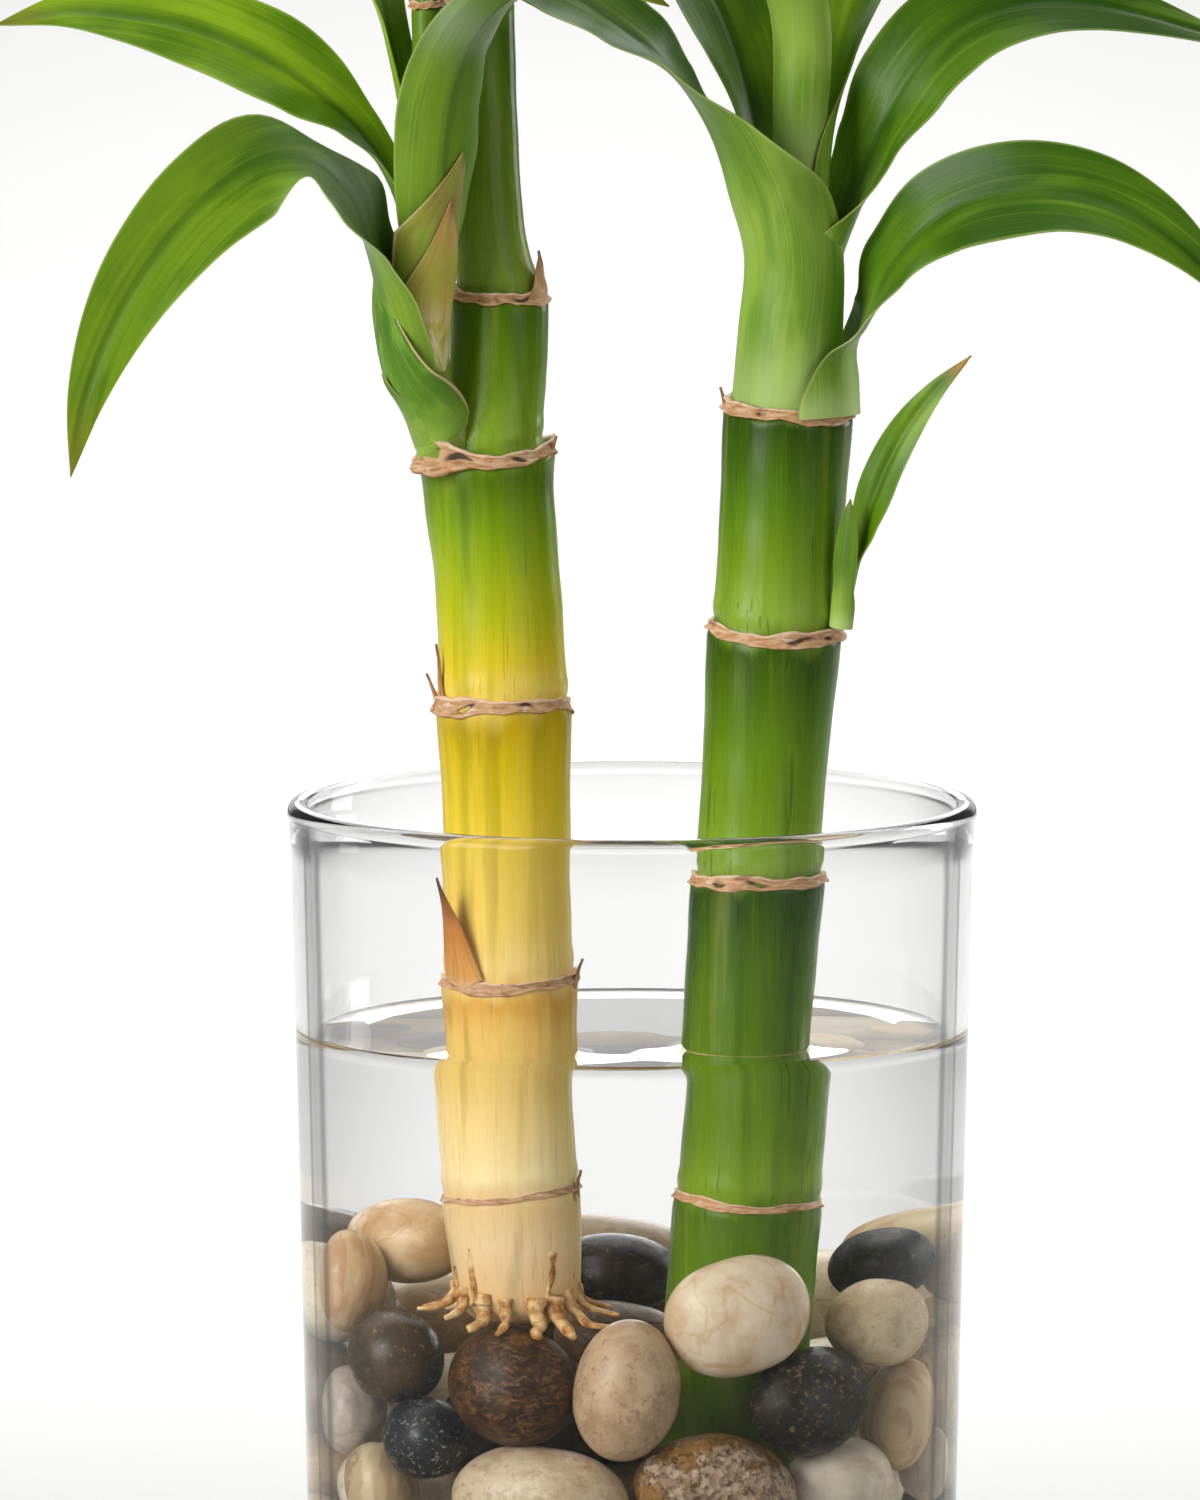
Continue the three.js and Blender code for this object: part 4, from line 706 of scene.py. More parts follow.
def blade_shape(centre, side, inward, half, bend, thick, lift):
    """A thin closed blade: at each station, points on an arc across the spine, of half width half and
    curvature bend, in an outer and an inner row that are thick apart; lift moves each point along the
    blade's own facing. Gives the shape, each point's place across it and on which face it lies."""
    stations, columns = lift.shape
    u = np.linspace(-1, 1, columns)
    angle = u[None, :] * (half * bend)[:, None]
    sine, cosine = np.sin(angle)[..., None], np.cos(angle)[..., None]
    facing = inward[:, None] * cosine - side[:, None] * sine
    middle = centre[:, None] + (side[:, None] * sine + inward[:, None] * (1 - cosine)) / bend[:, None, None]
    rows = [middle + facing * (face * thick + lift)[..., None] for face in (-0.5, 0.5)]
    points = np.stack(rows, axis=1).reshape(-1, 3)
    row, column = np.divmod(grid_quads(stations, columns), columns)
    step = 2 * columns
    outer_quads = row * step + column
    inner_quads = (outer_quads + columns)[:, ::-1]
    left = np.arange(stations - 1) * step
    left_quads = np.stack([left, left + step, left + step + columns, left + columns], axis=-1)
    right = left + columns - 1
    right_quads = np.stack([right, right + columns, right + step + columns, right + step], axis=-1)
    start = np.arange(columns - 1)
    start_quads = np.stack([start, start + columns, start + columns + 1, start + 1], axis=-1)
    end = start + (stations - 1) * step
    end_quads = np.stack([end, end + 1, end + columns + 1, end + columns], axis=-1)
    quads = np.vstack([outer_quads, inner_quads, left_quads, right_quads, start_quads, end_quads])
    faces = np.tile(np.repeat([-1.0, 1.0], columns), stations)
    return (points, quads, NO_TRIANGLES), np.tile(u, stations * 2), faces


# Leaves.

def leaf_shape(stem, turn, sheath, half, wave, tone, spine, bank, base=None, clasp=None, share=None,
               foot=None, grip=(0.3, 1.4), pinch=(0.5, 0.0, 0.1), curl=3.2, painted_sheen=(0.5, 0.1, 0.0),
               pale=1.0, dry_tip=0.25):
    """A leaf by the rule of its solid: a sheath on the stem, then a blade that swells from its neck and
    runs out to a point, arched across, with a crease along its middle and a rippled edge."""
    out, level = facing(turn)
    sheath_radius, sheath_degrees = sheath
    foot = foot or sheath_radius * SHEATH_FOOT
    if stem:
        heights = np.array([base, (base + clasp) / 2, clasp])
        reach = np.array([[foot], [(foot + sheath_radius) / 2], [sheath_radius]])
        spine = np.vstack([axis_at(stem, heights) + out * reach, spine])
        bank = [0, 0] + bank
    curve = Spine(spine)
    share = share or (clasp - base) / curve.length * SHEATH_REACH
    s = np.linspace(0, 1, LEAF_STATIONS)
    t, centre, along = curve.at_share(s)
    banks = np.array(bank, float)
    between = t * (len(banks) - 1)
    i = np.minimum(between.astype(int), len(banks) - 2)
    tilt = np.radians(blend(banks[i], banks[i + 1], smooth(between - i)))[:, None]
    flat = unit(level - along * (along @ level)[:, None])
    side = flat * np.cos(tilt) + np.cross(along, flat) * np.sin(tilt)
    inward = np.cross(along, side)

    hold, open_at = grip
    opened = smooth((s / share - hold) / (open_at - hold))
    clasp_radius = blend(foot, sheath_radius, smooth(s / share))
    q = np.maximum(0, (s - share) / (1 - share))
    neck, widest = half
    root = neck * (1 - q)
    free_width = root + (widest - root) * np.sin(math.pi * q**0.68).clip(0) ** 0.9
    place, depth, reach = pinch
    width = blend(clasp_radius * math.radians(sheath_degrees), free_width, opened)
    width = np.maximum(width * (1 - depth * bell(s - place, reach)), 0.1)
    neck_radius = max(1.5 * neck, 1.35 * sheath_radius)
    blade_radius = max(neck_radius, curl * widest)
    bend = blend(1 / clasp_radius, blend(1 / neck_radius, 1 / blade_radius, smooth(q * 3)), opened)

    u = np.linspace(-1, 1, LEAF_COLUMNS)
    settled = (smooth((s - share) * 4) * (1 - s))[:, None]
    ripple = wave * np.sin(s * EDGE_WAVES + len(spine))[:, None] * settled * u * np.abs(u)
    fine = FINE_SHARE * wave * np.sin(s * FINE_WAVES + 3 * len(spine))[:, None]
    ripple = ripple + fine * settled * u * np.abs(u) ** 3
    past_sheath = smooth((s - share) * 6)[:, None]
    crease = -CREASE_DEPTH * bell(u * width[:, None], CREASE_WIDTH) * past_sheath
    veins = VEIN_HEIGHT * np.sin(u * VEIN_WAVES) * past_sheath
    lift = ripple + (crease + veins) * np.minimum(1, width / 3)[:, None]
    thick = np.tile(LEAF_THICKNESS - LEAF_THINNING * np.abs(u) ** 3, (LEAF_STATIONS, 1))
    shape, across, face = blade_shape(centre, side, inward, width, bend, thick, lift)

    # Where along the leaf a silvery sheen is painted on, standing for light that the blade catches.
    sheen_place, sheen_reach, sheen_strength = painted_sheen
    by_station = {
        "sheath": (1 - smooth((s / share - hold) / (open_at + 0.4 - hold))) * pale,
        "painted_sheen": bell(s - sheen_place, sheen_reach) * sheen_strength,
        "dry_tip": smooth((s - DRY_FROM) / DRY_OVER) * dry_tip,
        "width": width,
        "run": s * curve.length,
        "rise": s / share,
        "tone": np.full(LEAF_STATIONS, tone),
    }
    marks = {key: np.repeat(values, 2 * LEAF_COLUMNS) for key, values in by_station.items()}
    marks["width"] = marks["width"] * across
    return shape, {**marks, "across": across, "face": face}


def scale_shape(axis, low, high, degrees, foot, tip, half_width, narrows, opens, flare, crumple):
    """A sheath scale: a narrow blade that wraps its stem from low to high at a radius that grows by a
    power from foot to tip. It opens to its half width from its foot and then narrows to a point. Slow
    waves crumple it."""
    out, level = facing(degrees)
    s = np.linspace(0, 1, SCALE_STATIONS)
    wander = 0.4 * crumple * np.sin(s * 7 + low) * s
    radius = blend(foot, tip, s**flare)
    centre = axis_at(axis, blend(low, high, s)) + out * radius[:, None] + level * wander[:, None]
    along = unit(np.gradient(centre, axis=0))
    side = unit(level - along * (along @ level)[:, None])
    inward = np.cross(along, side)
    inward = inward * np.sign(-(inward @ out)).mean().round()
    half = half_width * np.minimum(1, (1 - s) * narrows) ** 1.1 * np.minimum(1, 0.1 + s * opens) + 0.06
    u = np.linspace(-1, 1, SCALE_COLUMNS)
    thick = (0.36 - 0.18 * s)[:, None] * (1 - 0.4 * u**2)
    waves = crumple * np.sin(u * 4 + s[:, None] * 9 + low) * smooth(s * 3)[:, None]
    shape, across, _ = blade_shape(centre, side, inward, half, 1 / radius, thick, waves)
    return shape, {"across": across, "along": np.repeat(s, 2 * SCALE_COLUMNS)}


def root_tube(points, radius, tip_radius):
    """A root: circles along a curve through the points, thinner towards the tip and a little knotted."""
    spine = Spine(points)
    s = np.linspace(0, 1, 30)
    _, centre, along = spine.at_share(s)
    flat = unit(np.cross(along, np.array([0.05, 0.1, 1.0])))
    over = np.cross(along, flat)
    turn = full_turn(12)[:, None]
    thickness = blend(radius, tip_radius, s**1.3) * (1 + 0.1 * np.sin(s * 17 + points[0][0]))
    ring = flat[:, None] * np.cos(turn) + over[:, None] * np.sin(turn)
    return closed_tube(centre[:, None] + ring * thickness[:, None, None]), {}


# Pebbles.

def pebble_groups(node):
    """The points of each pebble in a node. Its loose triangles are welded, and those that meet at
    convex edges belong together: each takes the lowest label among them until none changes."""
    mesh = frame["nodes"][node].data
    corners = np.zeros(len(mesh.vertices) * 3, np.float32)
    mesh.vertices.foreach_get("co", corners)
    loops = np.zeros(len(mesh.loops), np.int64)
    mesh.loops.foreach_get("vertex_index", loops)
    points = corners.reshape(-1, 3).astype(float) / MM
    merged, index = np.unique(np.round(points, 3), axis=0, return_inverse=True)
    faces = index.reshape(-1)[loops].reshape(-1, 3)
    a, b, c = (merged[faces[:, k]] for k in range(3))
    normal = np.cross(b - a, c - a)
    kept = np.linalg.norm(normal, axis=1) > 1e-6
    faces, normal, a = faces[kept], unit(normal[kept]), a[kept]
    edges = np.vstack([faces[:, [0, 1]], faces[:, [1, 2]], faces[:, [2, 0]]])
    owner = np.tile(np.arange(len(faces)), 3)
    apex = np.concatenate([faces[:, 2], faces[:, 0], faces[:, 1]])
    order = np.lexsort(np.sort(edges, axis=1).T)
    edges, owner, apex = np.sort(edges, axis=1)[order], owner[order], apex[order]
    same = np.all(edges[1:] == edges[:-1], axis=1)
    one, two = owner[:-1][same], owner[1:][same]
    depth = np.einsum("ij,ij->i", merged[apex[1:][same]] - a[one], normal[one])
    bend = np.einsum("ij,ij->i", normal[one], normal[two])
    convex = (depth < 0.002) | (bend > 0.985)
    one, two = one[convex], two[convex]
    label = np.arange(len(faces))
    for _ in range(len(faces)):
        before = label.copy()
        lowest = np.minimum(label[one], label[two])
        np.minimum.at(label, one, lowest)
        np.minimum.at(label, two, lowest)
        if np.array_equal(before, label):
            break
    groups = [merged[np.unique(faces[label == k])] for k in np.unique(label)]
    return [group for group in groups if len(group) >= 12]


def unit_ball(cuts):
    """A ball of even triangles: an icosahedron whose edges are halved cuts times, pushed to radius 1."""
    golden = (1 + math.sqrt(5)) / 2
    corners = [[-1, golden, 0], [1, golden, 0], [-1, -golden, 0], [1, -golden, 0], [0, -1, golden],
               [0, 1, golden], [0, -1, -golden], [0, 1, -golden], [golden, 0, -1], [golden, 0, 1],
               [-golden, 0, -1], [-golden, 0, 1]]
    faces = np.array([[0, 11, 5], [0, 5, 1], [0, 1, 7], [0, 7, 10], [0, 10, 11], [1, 5, 9], [5, 11, 4],
                      [11, 10, 2], [10, 7, 6], [7, 1, 8], [3, 9, 4], [3, 4, 2], [3, 2, 6], [3, 6, 8],
                      [3, 8, 9], [4, 9, 5], [2, 4, 11], [6, 2, 10], [8, 6, 7], [9, 8, 1]])
    points = unit(np.array(corners, float))
    for _ in range(cuts):
        edges = np.sort(np.vstack([faces[:, [0, 1]], faces[:, [1, 2]], faces[:, [2, 0]]]), axis=1)
        halved, index = np.unique(edges, axis=0, return_inverse=True)
        middle = len(points) + index.reshape(3, -1).T
        points = np.vstack([points, unit(points[halved].sum(axis=1))])
        a, b, c = faces.T
        ab, bc, ca = middle.T
        quarters = ((a, ab, ca), (b, bc, ab), (c, ca, bc), (ab, bc, ca))
        faces = np.vstack([np.column_stack(quarter) for quarter in quarters])
    return points, faces


BALL = unit_ball(4)
FINE_BALL = unit_ball(5)


def pebble_shape(group, uneven, ball=BALL):
    """A smooth pebble through a group's points: the ellipsoid that fits them best, its radius in each
    direction scaled by a weighted mean of how far the points near that direction miss it. Slow waves
    of a seeded draw make it uneven."""
    middle = (group.min(axis=0) + group.max(axis=0)) / 2
    arms = group - middle
    x, y, z = arms.T
    terms = np.column_stack([x * x, y * y, z * z, 2 * x * y, 2 * x * z, 2 * y * z])
    fit = np.linalg.lstsq(terms, np.ones(len(arms)), rcond=None)[0]
    matrix = np.array([[fit[0], fit[3], fit[4]], [fit[3], fit[1], fit[5]], [fit[4], fit[5], fit[2]]])
    values, vectors = np.linalg.eigh(matrix)
    values = values.clip(1 / LONGEST_ARM**2, 1 / SHORTEST_ARM**2)
    matrix = vectors @ np.diag(values) @ vectors.T
    ball, faces = ball
    reach = 1 / np.sqrt(np.einsum("ij,jk,ik->i", ball, matrix, ball))
    far = np.linalg.norm(arms, axis=1)
    heading = arms / far[:, None]
    missed = far * np.sqrt(np.einsum("ij,jk,ik->i", heading, matrix, heading))
    weight = np.exp(NEARNESS * (ball @ heading.T - 1))
    scale = (weight @ missed) / weight.sum(axis=1)
    waves = np.zeros(len(ball))
    for _ in range(WAVES):
        direction = unit(draws.normal(size=3))
        waves += np.sin(draws.uniform(2.0, 5.5) * (ball @ direction) + draws.uniform(0, 6.3)) / WAVES
    radius = reach * scale * (1 + uneven * waves) * PEBBLE_INSET
    return middle + ball * radius[:, None], NO_QUADS, faces


# Shaders.

class Value:
    """Wraps a node's output, so that sums and products of values add Math nodes."""

    def __init__(self, finish, socket):
        self.finish = finish
        self.socket = socket

    def math(self, operation, *others):
        inputs = dict(enumerate((self, *others)))
        return self.finish.add("ShaderNodeMath", {"operation": operation}, inputs)

    def flipped(self, operation, other):
        return self.finish.add("ShaderNodeMath", {"operation": operation}, {0: other, 1: self})

    def __add__(self, other):
        return self.math("ADD", other)

    def __radd__(self, other):
        return self.flipped("ADD", other)

    def __sub__(self, other):
        return self.math("SUBTRACT", other)

    def __rsub__(self, other):
        return self.flipped("SUBTRACT", other)

    def __mul__(self, other):
        return self.math("MULTIPLY", other)

    def __rmul__(self, other):
        return self.flipped("MULTIPLY", other)

    def __truediv__(self, other):
        return self.math("DIVIDE", other)

    def __pow__(self, other):
        return self.math("POWER", other)

    def rise(self, low, high):
        """From 0 at low to 1 at high, easing at both ends."""
        settings = {"interpolation_type": "SMOOTHSTEP"}
        return self.finish.add("ShaderNodeMapRange", settings, {0: self, 1: low, 2: high})


class Finish:
    """A material in the making, or the finish of another node tree: each method adds one kind of node
    and gives back its output."""

    def __init__(self, name, tree=None):
        self.tree = tree
        if tree is None:
            self.material = bpy.data.materials.new(name)
            self.material.use_nodes = True
            self.tree = self.material.node_tree
        self.tree.nodes.clear()

    def add(self, kind, settings=None, inputs=None, output=0):
        node = self.tree.nodes.new(kind)
        for key, value in (settings or {}).items():
            setattr(node, key, value)
        for key, value in (inputs or {}).items():
            if isinstance(value, Value):
                self.tree.links.new(value.socket, node.inputs[key])
            else:
                node.inputs[key].default_value = colour(value) if isinstance(value, str) else value
        return Value(self, node.outputs[output]) if len(node.outputs) else None

    def space(self, scale=(1, 1, 1)):
        """The place on the object in millimetres, stretched by scale."""
        place = self.add("ShaderNodeTexCoord", output="Object")
        size = [part / MM for part in scale]
        return self.add("ShaderNodeMapping", {"vector_type": "POINT"}, {"Vector": place, "Scale": size})

    def parts(self, vector):
        node = self.add("ShaderNodeSeparateXYZ", inputs={0: vector}).socket.node
        return [Value(self, node.outputs[k]) for k in range(3)]

    def mark(self, name, output="Fac"):
        settings = {"attribute_type": "GEOMETRY", "attribute_name": name}
        return self.add("ShaderNodeAttribute", settings, output=output)

    def marks(self, *names):
        return [self.mark(name) for name in names]

    def vector(self, x, y, z):
        return self.add("ShaderNodeCombineXYZ", inputs={0: x, 1: y, 2: z})

    def stretched(self, place):
        """A vector as it is, and for three numbers the place on the object, stretched by them."""
        return self.space(place) if isinstance(place, tuple) else place

    def noise(self, place, scale=1.0, detail=3.0, rough=0.5, warp=0.0):
        inputs = {"Vector": self.stretched(place), "Scale": scale, "Detail": detail, "Roughness": rough,
                  "Distortion": warp}
        return self.add("ShaderNodeTexNoise", inputs=inputs)

    def cells(self, place, scale, output="Distance"):
        inputs = {"Vector": self.stretched(place), "Scale": scale}
        return self.add("ShaderNodeTexVoronoi", inputs=inputs, output=output)

    def ramp(self, value, stops, ease="EASE"):
        """Colours by value, from stops that each give a place from 0 to 1 and its colour."""
        made = self.add("ShaderNodeValToRGB", inputs={0: value})
        ramp = made.socket.node.color_ramp
        ramp.interpolation = ease
        while len(ramp.elements) < len(stops):
            ramp.elements.new(1.0)
        for element, (place, shade) in zip(ramp.elements, stops):
            element.position = place
            element.color = colour(shade)
        return made

    def mix(self, share, a, b, blend_type="MIX"):
        settings = {"data_type": "RGBA", "blend_type": blend_type}
        return self.add("ShaderNodeMix", settings, {0: share, 6: a, 7: b}, output=2)

    def layers(self, base, laid):
        """Lays colours over a base in turn, each given as its share and itself."""
        for share, shade in laid:
            base = self.mix(share, base, shade)
        return base

    def bump(self, height, distance, strength=1.0):
        inputs = {"Height": height, "Distance": distance * MM, "Strength": strength}
        return self.add("ShaderNodeBump", inputs=inputs)

    def shade(self, base, rough, height=None, distance=0.0, gloss=0.5):
        """The surface itself, on the material's output: gloss is how strongly it reflects."""
        inputs = {"Base Color": base, "Roughness": rough, "Specular IOR Level": gloss}
        if height:
            inputs["Normal"] = self.bump(height, distance)
        surface = self.add("ShaderNodeBsdfPrincipled", inputs=inputs)
        self.add("ShaderNodeOutputMaterial", inputs={"Surface": surface})
        return self.material


def cane_finish(name, stops, span, grooves):
    """A fresh cane's skin: colours by height that shift with slow noise, long upright fibres, paler
    and darker streaks, faint grooves and a waxy shine that is broken by them."""
    f = Finish(name)
    low, high = span
    _, _, z = f.parts(f.space())
    streaks = f.noise((0.3, 0.3, 0.012))
    fibres = f.noise((2.6, 2.6, 0.06), 1.0, 3, 0.6)
    patches = f.noise((0.1, 0.1, 0.05), 1.0, 3, 0.5, 0.6)
    shifted = z + (patches - 0.5) * 8 + (streaks - 0.5) * 7
    share = (shifted - low) / (high - low)
    base = f.ramp(share, [((h - low) / (high - low), c) for h, c in stops], "LINEAR")
    darker = f.mix(0.8, base, "#7f8c3a", "MULTIPLY")
    lighter = f.mix(0.4, base, "#d2cc5c")
    cuts = f.noise((1.5, 1.5, 0.02), 1.0, 2, 0.4).rise(0.62, 0.68)
    cuts = cuts * f.noise((0.1, 0.1, 0.05), 1.0, 2).rise(0.5, 0.6) * grooves
    specks = f.cells((0.8, 0.8, 0.6), 1.0).rise(0.09, 0.05)
    toned = f.layers(base, [
        (streaks.rise(0.52, 0.7) * 0.4, darker),
        (streaks.rise(0.46, 0.3) * 0.28, lighter),
        (fibres.rise(0.54, 0.7) * 0.12, lighter),
        (fibres.rise(0.46, 0.3) * 0.14, darker),
        (cuts * 0.5, darker),
        (specks * 0.3, lighter),
    ])
    rough = 0.2 + fibres * 0.08 + patches * 0.08
    height = fibres * 0.25 + streaks * 0.3 - cuts * 1.0 + patches * 0.6
    return f.shade(toned, rough, height, 0.12, 0.16)


def ring_finish():
    """Old papery scar tissue: pinkish tan, with brown grain that runs round the stem. A painted highlight
    pales its upper lip; painted shade browns its groove, darkens its lower edge and turns its hollows
    a grey-green dark."""
    f = Finish("papery_scar")
    across, sunk = f.marks("across", "sunk")
    grain = f.noise((0.5, 0.5, 2.4), 1.0, 4, 0.6)
    blots = f.noise((0.28, 0.28, 0.7), 1.0, 3, 0.5, 0.4)
    lips = (across * across).rise(0.25, 0.75)
    base = f.ramp(grain, [(0.3, "#98683e"), (0.42, "#c39468"), (0.55, "#d9b18c"), (0.7, "#ecd0b2")])
    base = f.layers(base, [
        # Painted shade: the groove between the lips is made browner.
        ((1 - lips) * 0.4, "#a47648"),
        # Painted highlight along the upper lip.
        (across.rise(0.5, 0.95) * 0.5, "#ecd2b8"),
        # Painted shade along the lower edge, under the ring.
        (across.rise(-0.7, -1.0) * 0.6, "#7a5028"),
        (blots.rise(0.6, 0.68) * 0.6, "#6e451f"),
        (blots.rise(0.38, 0.3) * 0.5, "#efd9c4"),
        # Painted shade: the sunk hollows go near black.
        ((sunk + grain * 0.8).rise(0.75, 1.15) * 0.9, "#26241a"),
    ])
    return f.shade(base, 0.55 + grain * 0.15, grain * 0.6 + blots * 0.4, 0.25, 0.3)


def tip_finish():
    """Dry sheath tips: orange-brown at the foot, darker veins and a brown, brittle point."""
    f = Finish("dry_sheath")
    along, across, seed, pale = f.marks("along", "across", "seed", "pale")
    veins = f.noise(f.vector(across * 5, along * 1.2, seed), 1.4, 4, 0.6)
    base = f.ramp(along, [(0.0, "#d8ae78"), (0.15, "#d2933c"), (0.5, "#c67c1c"), (0.72, "#9a5a18"),
                          (0.9, "#4e2c10")])
    base = f.layers(base, [
        (veins.rise(0.52, 0.66) * 0.6, "#8a4410"),
        (veins.rise(0.45, 0.3) * 0.5, "#e8bc78"),
        ((across * across).rise(0.6, 1.0) * 0.5, "#8a5a30"),
        (pale * 0.7, "#a87c50"),
    ])
    return f.shade(base, 0.5, veins, 0.25)


def sheath_finish():
    """Old sheaths round the side shoot: green with lengthwise veins, or, where dry, yellow-orange with
    painted pinkish white highlights on its lower part and a brown tip, and always a thin pale and brown
    margin."""
    f = Finish("old_sheath")
    along, across, dryness = f.marks("along", "across", "dryness")
    veins = f.noise(f.vector(across * 7, along * 1.0, dryness * 9), 1.2, 4, 0.6)
    clouds = f.noise(f.vector(across * 1.6, along * 3.0, dryness * 5), 1.2, 3, 0.5, 0.5)
    edge = across * across
    fresh = f.ramp(along, [(0.0, "#8aac3e"), (0.3, "#55801e"), (0.75, "#426c12"), (1.0, "#7d9c3c")])
    fresh = f.layers(fresh, [
        (clouds.rise(0.45, 0.65) * 0.6, "#7ea62c"),
        (veins.rise(0.5, 0.7) * 0.3, "#9dbb5c"),
    ])
    old = f.ramp(along, [(0.0, "#a3b84a"), (0.3, "#c4b855"), (0.6, "#b4ab48"), (0.85, "#c99a58"),
                         (1.0, "#a86a3c")])
    old = f.layers(old, [
        (clouds.rise(0.5, 0.68) * 0.7, "#98ae38"),
        (veins.rise(0.53, 0.68) * 0.5, "#c27a48"),
        # Painted highlight: pinkish white patches on the lower part of a dry sheath.
        (along.rise(0.45, 0.2) * clouds.rise(0.55, 0.4) * 0.7, "#ecd2b8"),
    ])
    base = f.layers(f.mix(dryness, fresh, old), [
        (edge.rise(0.86, 0.93) * 0.8, "#d8bc96"),
        (edge.rise(0.95, 1.0) * 0.7, "#9c6b40"),
    ])
    return f.shade(base, 0.36 + veins * 0.12, veins, 0.15, 0.2)


def root_finish():
    """Young roots: cream, with tan and rust-brown stains."""
    f = Finish("young_root")
    stains = f.noise((0.5, 0.5, 0.5), 1.0, 4, 0.6)
    base = f.ramp(stains, [(0.32, "#8a5222"), (0.44, "#b98548"), (0.56, "#d9b37a"), (0.74, "#ead2a0")])
    return f.shade(base, 0.42 + stains * 0.15, stains, 0.3, 0.3)


def leaf_finish():
    """A leaf's skin: lengthwise veins and cloudy bands of green, paler at the sheath, darker along the
    middle, yellower underneath, with a painted silvery sheen, a thin pale edge and a brown margin on
    the sheath."""
    f = Finish("leaf_skin")
    across, width, run, rise = f.marks("across", "width", "run", "rise")
    sheath, tone, face, painted_sheen, dry_tip = f.marks("sheath", "tone", "face", "painted_sheen", "dry_tip")
    veins = f.noise(f.vector(width * 1.3, run * 0.015, tone * 40), 1.0, 3, 0.55)
    fine = f.noise(f.vector(width * 5.0, run * 0.03, tone * 17), 1.0, 2, 0.6)
    clouds = f.noise(f.vector(width * 0.13, run * 0.035, tone * 29), 1.0, 3, 0.5, 0.3)
    green = f.mix(tone, "#3f6a10", "#86a816")
    deep = f.mix(tone, "#234a06", "#557c08")
    stalk = f.layers(f.mix(clouds.rise(0.6, 0.4), "#98b848", "#6d9626"), [
        (fine.rise(0.45, 0.7) * 0.3, "#aecb68"),
        (rise.rise(0.6, 0.0) * 0.7, "#bcd283"),
    ])
    middle = (width * width).rise(1.2, 0.0)
    edge = across * across
    base = f.layers(f.mix(clouds.rise(0.64, 0.38), green, deep), [
        (veins.rise(0.52, 0.76) * 0.28, "#93b43a"),
        (veins.rise(0.48, 0.28) * 0.3, "#27500a"),
        (fine.rise(0.56, 0.75) * 0.12, "#a3bf50"),
        (middle * (1 - sheath) * 0.4, "#2a520c"),
        (face.rise(0.0, -1.0) * 0.15, "#86a23a"),
        # Painted sheen: silvery grey laid over the blade, standing for light it catches where it turns.
        (painted_sheen * (0.1 + veins * 0.5), "#a6ae9e"),
        (dry_tip * 0.8, "#b0742c"),
        (sheath * 0.85, stalk),
        (edge.rise(0.88, 1.0) * 0.4, "#b5cc70"),
        (edge.rise(0.97, 1.0) * sheath * 0.5, "#a97c4c"),
    ])
    rough = 0.27 + veins * 0.1 + clouds * 0.06 + face.rise(0.0, -1.0) * 0.1
    height = veins * 0.4 + fine * 0.3 + clouds * 0.5
    return f.shade(base, rough, height, 0.1, 0.2)


